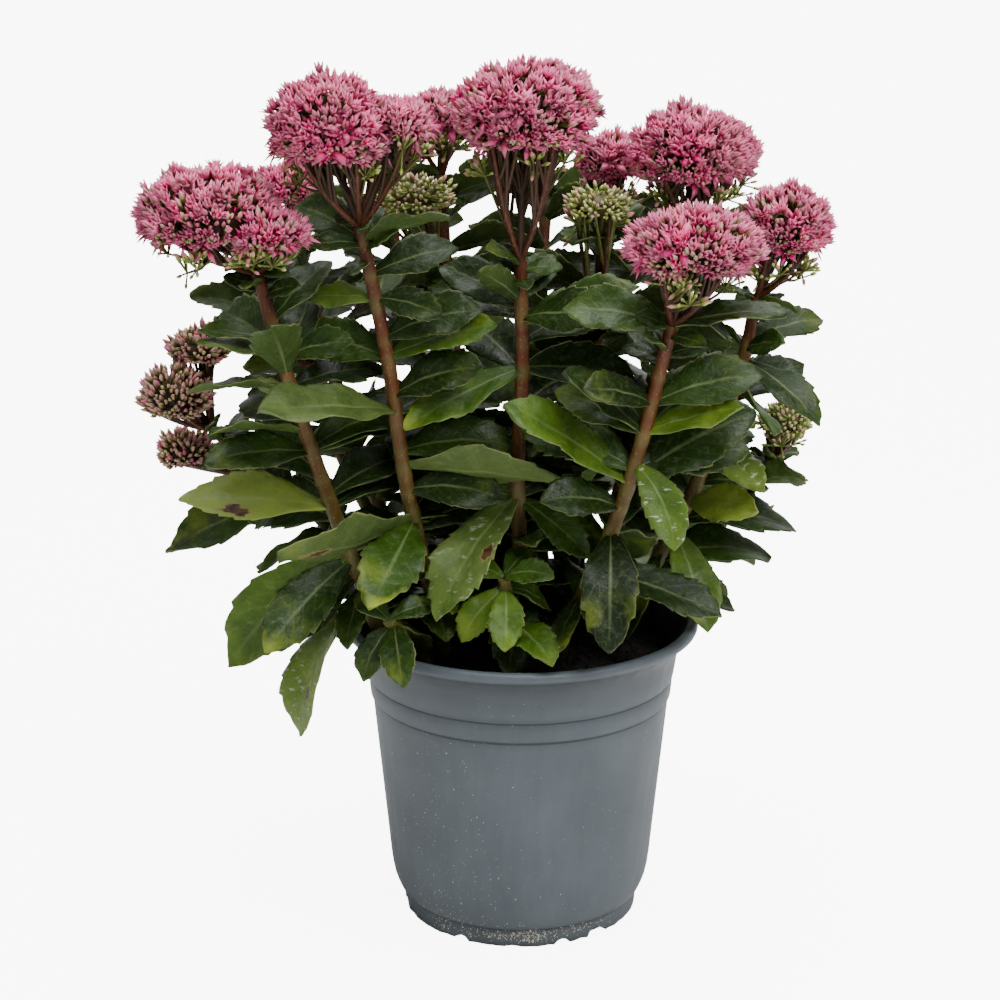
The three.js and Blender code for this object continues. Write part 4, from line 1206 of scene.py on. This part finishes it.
# Florets: pointed buds, half-open florets and open stars of five narrow petals, with painted colours
floretPaint = {
    "petalBase": "#b8205c", "petal": "#e74f89", "petalBack": "#d35884", "petalTip": "#f187ab",
    "centre": "#bb1750", "centreTip": "#ea5088", "calyx": "#6f7a3c",
    "budBase": "#95905a", "bud": "#ea86a0", "budDark": "#bd4173", "budTip": "#e25c8a",
    "creamBase": "#7f8a44", "cream": "#e0b7a2", "creamDark": "#bf887c", "creamTip": "#de93a0",
    "greenBase": "#5f7a30", "green": "#b2bb60", "greenDark": "#879647", "greenTip": "#dfd2a4",
    "dustyBase": "#6a6632", "dusty": "#c8aa8a", "dustyDark": "#8c7650", "dustyTip": "#d3a496",
}


def petalForm(length, width, tilt, turn, base, flare):  # a closed narrow petal: five corners, six faces
    lean, tipLean = math.radians(tilt), math.radians(tilt + flare)
    out = np.array([math.cos(turn), math.sin(turn), 0])
    side = np.array([-math.sin(turn), math.cos(turn), 0])
    up = np.array([0, 0, 1])
    back = out * math.cos(lean) - up * math.sin(lean)
    foot = out * base
    middle = foot + (out * math.sin(lean) + up * math.cos(lean)) * length * 0.5
    tip = middle + (out * math.sin(tipLean) + up * math.cos(tipLean)) * length * 0.5
    points = [foot, middle + side * width / 2, middle - side * width / 2, middle + back * width * 0.34, tip]
    return points, [(0, 2, 1), (2, 4, 1), (0, 1, 3), (0, 3, 2), (3, 1, 4), (3, 4, 2)]


def spindleForm(length, rings, sides, ribs=0.0):  # a closed pointed bud: rings are share of length and radius
    points = [np.zeros(3)]
    for share, radius in rings:
        for step in range(sides):
            turn = step / sides * fullTurn
            reach = radius * (1 + (ribs if step % 2 else -ribs))
            points.append(np.array([reach * math.cos(turn), reach * math.sin(turn), share * length]))
    points.append(np.array([0, 0, length]))
    last = len(points) - 1
    faces = [(0, 1 + (k + 1) % sides, 1 + k) for k in range(sides)]
    for row in range(len(rings) - 1):
        here, there = 1 + row * sides, 1 + (row + 1) * sides
        faces += [(here + k, here + (k + 1) % sides, there + (k + 1) % sides, there + k)
                  for k in range(sides)]
    here = last - sides
    faces += [(here + k, here + (k + 1) % sides, last) for k in range(sides)]
    return points, faces


def floretShape(name, forms):  # forms are points, faces and a colour for each point
    points, faces, colours = [], [], []
    for formPoints, formFaces, formColours in forms:
        start = len(points)
        points += [list(point) for point in formPoints]
        faces += [tuple(start + corner for corner in face) for face in formFaces]
        colours += [hexColour(floretPaint[colour]) for colour in formColours]
    shape = makeMesh(name, points, faces, [petal], {"paint": np.array(colours)})
    scene.collection.objects.unlink(shape)
    return shape


def openFloret(name, tilt, flare, length, width, calyx):
    forms = []
    for index in range(5):
        points, faces = petalForm(length, width, tilt, index / 5 * fullTurn, 0.35, flare)
        forms.append((points, faces, ["petalBase", "petal", "petal", "petalBack", "petalTip"]))
    points, faces = spindleForm(length * 0.62, [(0.5, 0.62)], 5)
    forms.append((points, faces, ["centre"] * (len(points) - 1) + ["centreTip"]))
    if calyx:
        points, faces = spindleForm(1.6, [(0.55, 0.85)], 5)
        forms.append(([point - (0, 0, 0.9) for point in points], faces, ["calyx"] * len(points)))
    return floretShape(name, forms)


def budShape(name, length, radius, paint):  # light ribs and darker furrows in turn
    points, faces = spindleForm(length, [(0.2, radius * 0.8), (0.6, radius * 0.92)], 6, 0.12)
    colours = [paint + "Base"] * 7 + [paint + "Dark", paint] * 3 + [paint + "Tip"]
    return floretShape(name, [(points, faces, colours)])


floretShapes = shapeCollection("floretShapes", [
    budShape("floret0Bud", 6.0, 1.1, "bud"),
    openFloret("floret1HalfOpen", 8, 14, 6.2, 2.0, True),
    openFloret("floret2Wide", 30, 24, 6.2, 2.1, False),
    openFloret("floret3Star", 66, 12, 6.8, 2.2, False),
    budShape("floret4Green", 3.8, 1.0, "green"),
    budShape("floret5Dusty", 4.8, 1.05, "dusty"),
    budShape("floret6Cream", 5.4, 1.0, "cream"),
])
pinkBud, halfOpen, wideOpen, star, greenBud, dustyBud, creamBud = range(7)


# Heads: florets at even points of each lobed dome, in clumps on twigs, over a mass of stalklets painted dark
# as shade
headLook = {
    "seed": 23, "clumpArea": 130.0, "fewestClumps": 7, "lowest": -0.62, "hub": 0.58, "sink": 0.86,
    "ragged": 0.16, "valley": 0.14, "clumpSway": 0.07, "floretSway": 0.035, "aimSway": 0.1, "missing": 0.12,
    "inBud": {"head_h": 0.2, "head_g": 0.12, "head_b": -0.3, "head_c": -0.15, "head_f": -0.2},
    "massDepth": 0.64, "tired": 0.45, "fade": 0.65, "smallest": 0.8, "largest": 1.18,
}
kindLook = {  # a floret's area and length, colour levels of stalks and mass (the mass's is painted shade), and late sprays below each dome
    "pink": {
        "slot": "pink_flower", "area": 9.6, "length": 5.4, "loose": 0.0, "level": 0.4, "mass": 0.1,
        "sprays": 7,
    },
    "dusty": {
        "slot": "dusty_flower", "area": 8.0, "length": 4.0, "loose": 0.03, "level": 0.35, "mass": 0.2,
        "sprays": 0,
    },
    "green": {
        "slot": "green_bud", "area": 9.5, "length": 3.4, "loose": 0.07, "level": 0.85, "mass": 0.45,
        "sprays": 4,
    },
}
sprayLook = {"buds": 11, "green": 0.6, "size": 0.9, "fade": 0.4, "nearest": 3.5, "farthest": 7}


def domeShare(directions, phase):
    lobes = [(0, 0, 1)]
    for index in range(plant["lobes"]):
        turn = phase + index / plant["lobes"] * fullTurn
        lobes.append((0.77 * math.cos(turn), 0.77 * math.sin(turn), 0.64))
    cosine = np.clip(unit(directions) @ unit(lobes).T, -1, 1)
    nearest = np.arccos(cosine).min(1)
    return 0.93 + 0.09 * np.exp(-((nearest / plant["lobeWidth"]) ** 2))


def onDome(dome, phase, directions, share):  # points at a share of the way out to the lobed dome
    size = domeSize(dome, directions[:, 2] > 0)
    return np.array(dome[:3], float) + size * directions * (domeShare(directions, phase) * share)[:, None]


def evenDirections(count, lowest, phase):
    heights = 1 - (1 - lowest) * (np.arange(count) + 0.5) / count
    turns = np.arange(count) * math.pi * (3 - math.sqrt(5)) + phase
    radii = np.sqrt(1 - heights**2)
    return np.stack([radii * np.cos(turns), radii * np.sin(turns), heights], axis=1)


def insideOther(bases, domes, index):  # florets that stand inside a neighbouring dome of the same head
    hidden = np.zeros(len(bases), bool)
    for other, dome in enumerate(domes):
        if other != index:
            size = domeSize(dome, bases[:, 2] > dome[2])
            hidden |= (((bases - dome[:3]) / size) ** 2).sum(1) < 0.8
    return hidden


def pickKinds(sort, ways, youth, draws):  # youth: 0 where a clump is fully open, 1 where it is all in bud
    luck = draws.uniform(0, 1, len(ways))
    low = ways[:, 2] < 0.02
    if sort == "dusty":
        return np.select([luck < 0.66, luck < 0.8, luck < 0.9], [dustyBud, creamBud, pinkBud], greenBud), low
    if sort == "green":
        return np.where(luck < 0.93, greenBud, creamBud), low
    closed = 0.3 + 0.3 * youth
    starry = np.where(ways[:, 2] < 0.45, 0.9, 0.96) + 0.1 * youth
    opening = [luck < closed, luck < closed + 0.34, luck < starry]
    kind = np.select(opening, [pinkBud, halfOpen, wideOpen], star)
    kind = np.where((youth > 0.8) & (luck < 0.5), creamBud, kind)
    return np.select([low & (luck < 0.2), low & (luck < 0.45)], [greenBud, creamBud], kind), low


def nearestBend(bends, hub):
    return min(bends, key=lambda bend: ((bend.at(1) - hub) ** 2).sum())


def twigsUnder(bends, centre, hubs, wide, level, draws):  # an axis up the middle, and a twig to every clump
    fork = bends[0].at(0)
    axis = Bend(fork, fork * 0.5 + centre * 0.5, centre)
    # the axis and twigs start at a dark level low under the head: partly their own colour, partly painted
    # shade
    lines = [taperedLine(axis, 7, 2.2, 1.3, 0.1, 0.2)]
    for hub in hubs:
        inner = math.hypot(*(hub - centre)[:2]) < 0.42 * wide
        start = (axis if inner else nearestBend(bends, hub)).at(draws.uniform(0.3, 0.8))
        middle = start * 0.4 + hub * 0.6
        middle[2] = start[2] + (hub[2] - start[2]) * draws.uniform(0.3, 0.45)
        lines.append(taperedLine(Bend(start, middle, hub), 5, 1.0, 0.45, level - 0.3, 0.35))
    return lines


def greenSpray(bends, dome, draws):  # a small late spray of buds on a side twig below the head
    x, y, z, wide, deep, _, drop = dome
    turn = draws.uniform(0, fullTurn)
    way = np.array([math.cos(turn), math.sin(turn), 0])
    hub = (x, y, z) + way * (wide, deep, 0) * draws.uniform(0.25, 0.62)
    hub = hub - (0, 0, drop * draws.uniform(0.85, 1.5))
    start = nearestBend(bends, hub).at(draws.uniform(0.25, 0.6))
    twig = Bend(start, start * 0.4 + hub * 0.6 - (0, 0, 2), hub)
    count = sprayLook["buds"]
    aims = unit(draws.normal(0, 0.6, (count, 3)) + way * 0.5 + (0, 0, 0.9))
    spots = hub + aims * draws.uniform(sprayLook["nearest"], sprayLook["farthest"], (count, 1))
    kinds = np.where(draws.uniform(0, 1, count) < sprayLook["green"], greenBud, creamBud)
    stalklets = [([hub, spot + 0.3 * aim], (0.45, 0.5), (0.7, 1), (0, 0)) for spot, aim in zip(spots, aims)]
    sizes, fades = np.full(count, sprayLook["size"]), draws.uniform(0, sprayLook["fade"], count)
    return (spots, aims, kinds, sizes, fades), taperedLine(twig, 4, 0.85, 0.3, 0.3, 0.4), stalklets


def stalkletMass(dome, phase, level):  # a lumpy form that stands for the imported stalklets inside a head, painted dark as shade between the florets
    work = bmesh.new()
    bmesh.ops.create_icosphere(work, subdivisions=3, radius=1)
    ball = np.array([vertex.co[:] for vertex in work.verts])
    faces = [[vertex.index for vertex in face.verts] for face in work.faces]
    work.free()
    lumps = 0.05 * np.sin(9 * ball[:, 0] + phase) * np.sin(11 * ball[:, 1]) - 0.06 * (ball[:, 2] < 0)
    points = onDome(dome, phase, ball, headLook["massDepth"] + lumps)
    return makeMesh("stalkletMass", points, faces, [stalkSkin], {"level": np.full(len(ball), level)})


def growDome(name, index, phase, draws):  # the florets, twigs and stalklets of one dome
    owner, sort, domes, _ = heads[name]
    look, dome, bends = kindLook[sort], domes[index], stalks[owner]["bends"][name][index]
    wide, deep, rise, drop = dome[3:]
    area = fullTurn * (((wide * deep) ** 1.6 + (wide * rise) ** 1.6 + (deep * rise) ** 1.6) / 3) ** 0.625
    lowest = headLook["lowest"]
    count = int(area / look["area"] * (1 - lowest))
    clumps = max(int(area / headLook["clumpArea"] * (1 - lowest)), headLook["fewestClumps"])
    hubWays = evenDirections(clumps, lowest + 0.05, phase * 3)
    hubWays = unit(hubWays + draws.normal(0, headLook["clumpSway"], (clumps, 3)))
    ways = unit(evenDirections(count, lowest, phase) + draws.normal(0, headLook["floretSway"], (count, 3)))
    nearness = ways @ hubWays.T
    nearHub = nearness.argmax(1)
    away = np.arccos(np.clip(nearness.max(1), -1, 1)) / math.sqrt(2 * (1 - lowest) / clumps)
    swell = 0.05 - headLook["valley"] * np.clip(away, 0, 1.3) ** 2
    swell += draws.uniform(-0.08, 0.02, clumps)[nearHub]
    hanging = np.clip(-ways[:, 2] / 0.5, 0, 1) * draws.uniform(-1.6, 0.4, clumps)[nearHub]
    swell += headLook["ragged"] * hanging  # the underside is ragged, with some clumps higher than others
    share = 1.02 + swell + draws.uniform(-0.04 - look["loose"], 0.02 + look["loose"], count)
    bases = onDome(dome, phase, ways, share)
    hubs = onDome(dome, phase, hubWays, np.full(clumps, headLook["hub"]))
    aims = unit(ways / (wide, deep, rise)) * 0.55 + unit(bases - hubs[nearHub]) * 0.7 + (0, 0, 0.45)
    aims = unit(aims + draws.normal(0, headLook["aimSway"], (count, 3)))
    bases = bases - aims * look["length"] * headLook["sink"]
    keep = ~insideOther(bases, domes, index)
    if sort != "pink":
        keep &= draws.uniform(0, 1, count) > headLook["missing"]
    youth = draws.uniform(0, 1, clumps) + 0.25 * (hubWays[:, 2] < 0.15) + headLook["inBud"].get(name, 0)
    kinds, low = pickKinds(sort, ways, np.clip(youth, 0, 1)[nearHub], draws)
    under = np.array(dome[:3]) - (0, 0, 0.2 * drop)
    twigs = twigsUnder(bends, under, hubs, wide, look["level"], draws)
    stalklets = [([hubs[nearHub[spot]], bases[spot] + aims[spot] * 0.4], (0.55, 0.5),
                  (look["level"], look["level"] + 0.3), (0, 0)) for spot in np.flatnonzero(keep)]
    florets = []
    for _ in range(look["sprays"]):
        buds, twig, more = greenSpray(bends, dome, draws)
        florets.append(buds)
        twigs.append(twig)
        stalklets += more
    sizes = np.where(low, 0.85, 1.0) * np.where(kinds == star, draws.uniform(1.1, 1.6, count), 1.0)
    fades = draws.uniform(0, headLook["tired"], clumps)[nearHub] + draws.uniform(0, headLook["fade"], count)
    florets.append(tuple(part[keep] for part in (bases, aims, kinds, sizes, fades)))
    # the mass is painted dark as shade in the gaps between florets
    return florets, twigs, stalklets, [stalkletMass(dome, phase, look["mass"])]


def makeHead(name, order, draws):
    _, sort, domes, _ = heads[name]
    grown = [growDome(name, index, order + 0.7 * index, draws) for index in range(len(domes))]
    florets, twigs, stalklets, masses = ([one for part in parts for one in part] for parts in zip(*grown))
    spots, *marks = (np.concatenate(part) for part in zip(*florets))
    carrier = makeMesh("floretPoints", spots, [], [], dict(zip(("aim", "kind", "size", "fade"), marks)))
    values = {"Shapes": floretShapes, "Smallest": headLook["smallest"], "Largest": headLook["largest"],
              "Seed": order + headLook["seed"], "Material": petal}
    parts = [growPiece("floretsOf_" + name, carrier, scatterTree, values)]
    for label, lines, sides in (("twigLines", twigs, 6), ("pedicelLines", stalklets, 3)):
        values = {"Sides": sides, "Material": stalkSkin}
        parts.append(growPiece(label, lineMesh(label, lines), tubeTree, values))
    dress(joinPieces("florets_" + name, parts + masses), kindLook[sort]["slot"], name)


def makeHeads():
    draws = np.random.default_rng(headLook["seed"])
    for order, name in enumerate(heads):
        makeHead(name, order, draws)
    for shape in list(floretShapes.objects):
        bpy.data.objects.remove(shape)
    bpy.data.collections.remove(floretShapes)


makeHeads()
print("heads made")
counts = {thing.name: sum(len(face.vertices) - 2 for face in thing.data.polygons)
          for thing in scene.objects if thing.type == "MESH"}
added = {name: count for name, count in counts.items()
         if name.startswith(("nursery", "peat", "sand", "leafy", "florets_"))}
print("triangles added:", sum(added.values()), "largest:", max(added.items(), key=lambda item: item[1]))
print("in leafy stems:", sum(count for name, count in added.items() if name.startswith("leafy")))


# A pale floor that curves up behind, and soft studio light from above and the left
studio = {
    "floor": "#f1f1f0", "world": "#f2f4f6", "worldStrength": 0.27, "glow": 9.0,
    "halfWidth": 3500, "front": -2500, "back": 900, "curve": 500, "top": 2600,
    "aim": (0, 0, 220),
    "lamps": {  # place, size and power
        "keyLight": ((800, -1100, 1500), 900, 24.0), "topLight": ((100, 100, 1700), 1300, 38.0),
        "fillLight": ((-1200, -900, 800), 900, 2.5),
    },
}


def makeStage():
    material, tree, shader = startMaterial("paleFloor", {"Roughness": 0.8})
    seen = addNode(tree, "ShaderNodeLightPath").outputs["Is Camera Ray"]  # it glows for the camera alone
    setInputs(tree, shader, {"Base Color": studio["floor"], "Emission Color": studio["floor"],
                             "Emission Strength": overlap(tree, seen, studio["glow"])})
    back, curve = studio["back"], studio["curve"]
    profile = [(studio["front"], 0), (back, 0)]
    profile += [(back + curve * math.sin(turn), curve - curve * math.cos(turn))
                for turn in np.linspace(0.15, math.pi / 2, 9)]
    profile += [(back + curve, studio["top"])]
    points = [(x, y, z) for y, z in profile for x in (-studio["halfWidth"], studio["halfWidth"])]
    faces = [(2 * k, 2 * k + 1, 2 * k + 3, 2 * k + 2) for k in range(len(profile) - 1)]
    makeMesh("paleFloor", points, faces, [material])
    world = bpy.data.worlds.new("softRoom")
    world.use_nodes = True
    tree = world.node_tree
    seen = addNode(tree, "ShaderNodeLightPath").outputs["Is Camera Ray"]
    strength = addNode(tree, "ShaderNodeMapRange", {0: seen, 3: studio["worldStrength"], 4: studio["glow"]})
    setInputs(tree, tree.nodes["Background"], {"Color": studio["world"], "Strength": strength})
    scene.world = world
    for name, (place, size, power) in studio["lamps"].items():
        data = bpy.data.lights.new(name, "AREA")
        data.size = size * mm
        data.energy = power
        lamp = bpy.data.objects.new(name, data)
        lamp.location = Vector(place) * mm
        aim = Vector(studio["aim"]) * mm - lamp.location
        lamp.rotation_euler = aim.to_track_quat("-Z", "Y").to_euler()
        scene.collection.objects.link(lamp)


makeStage()
print("stage made")
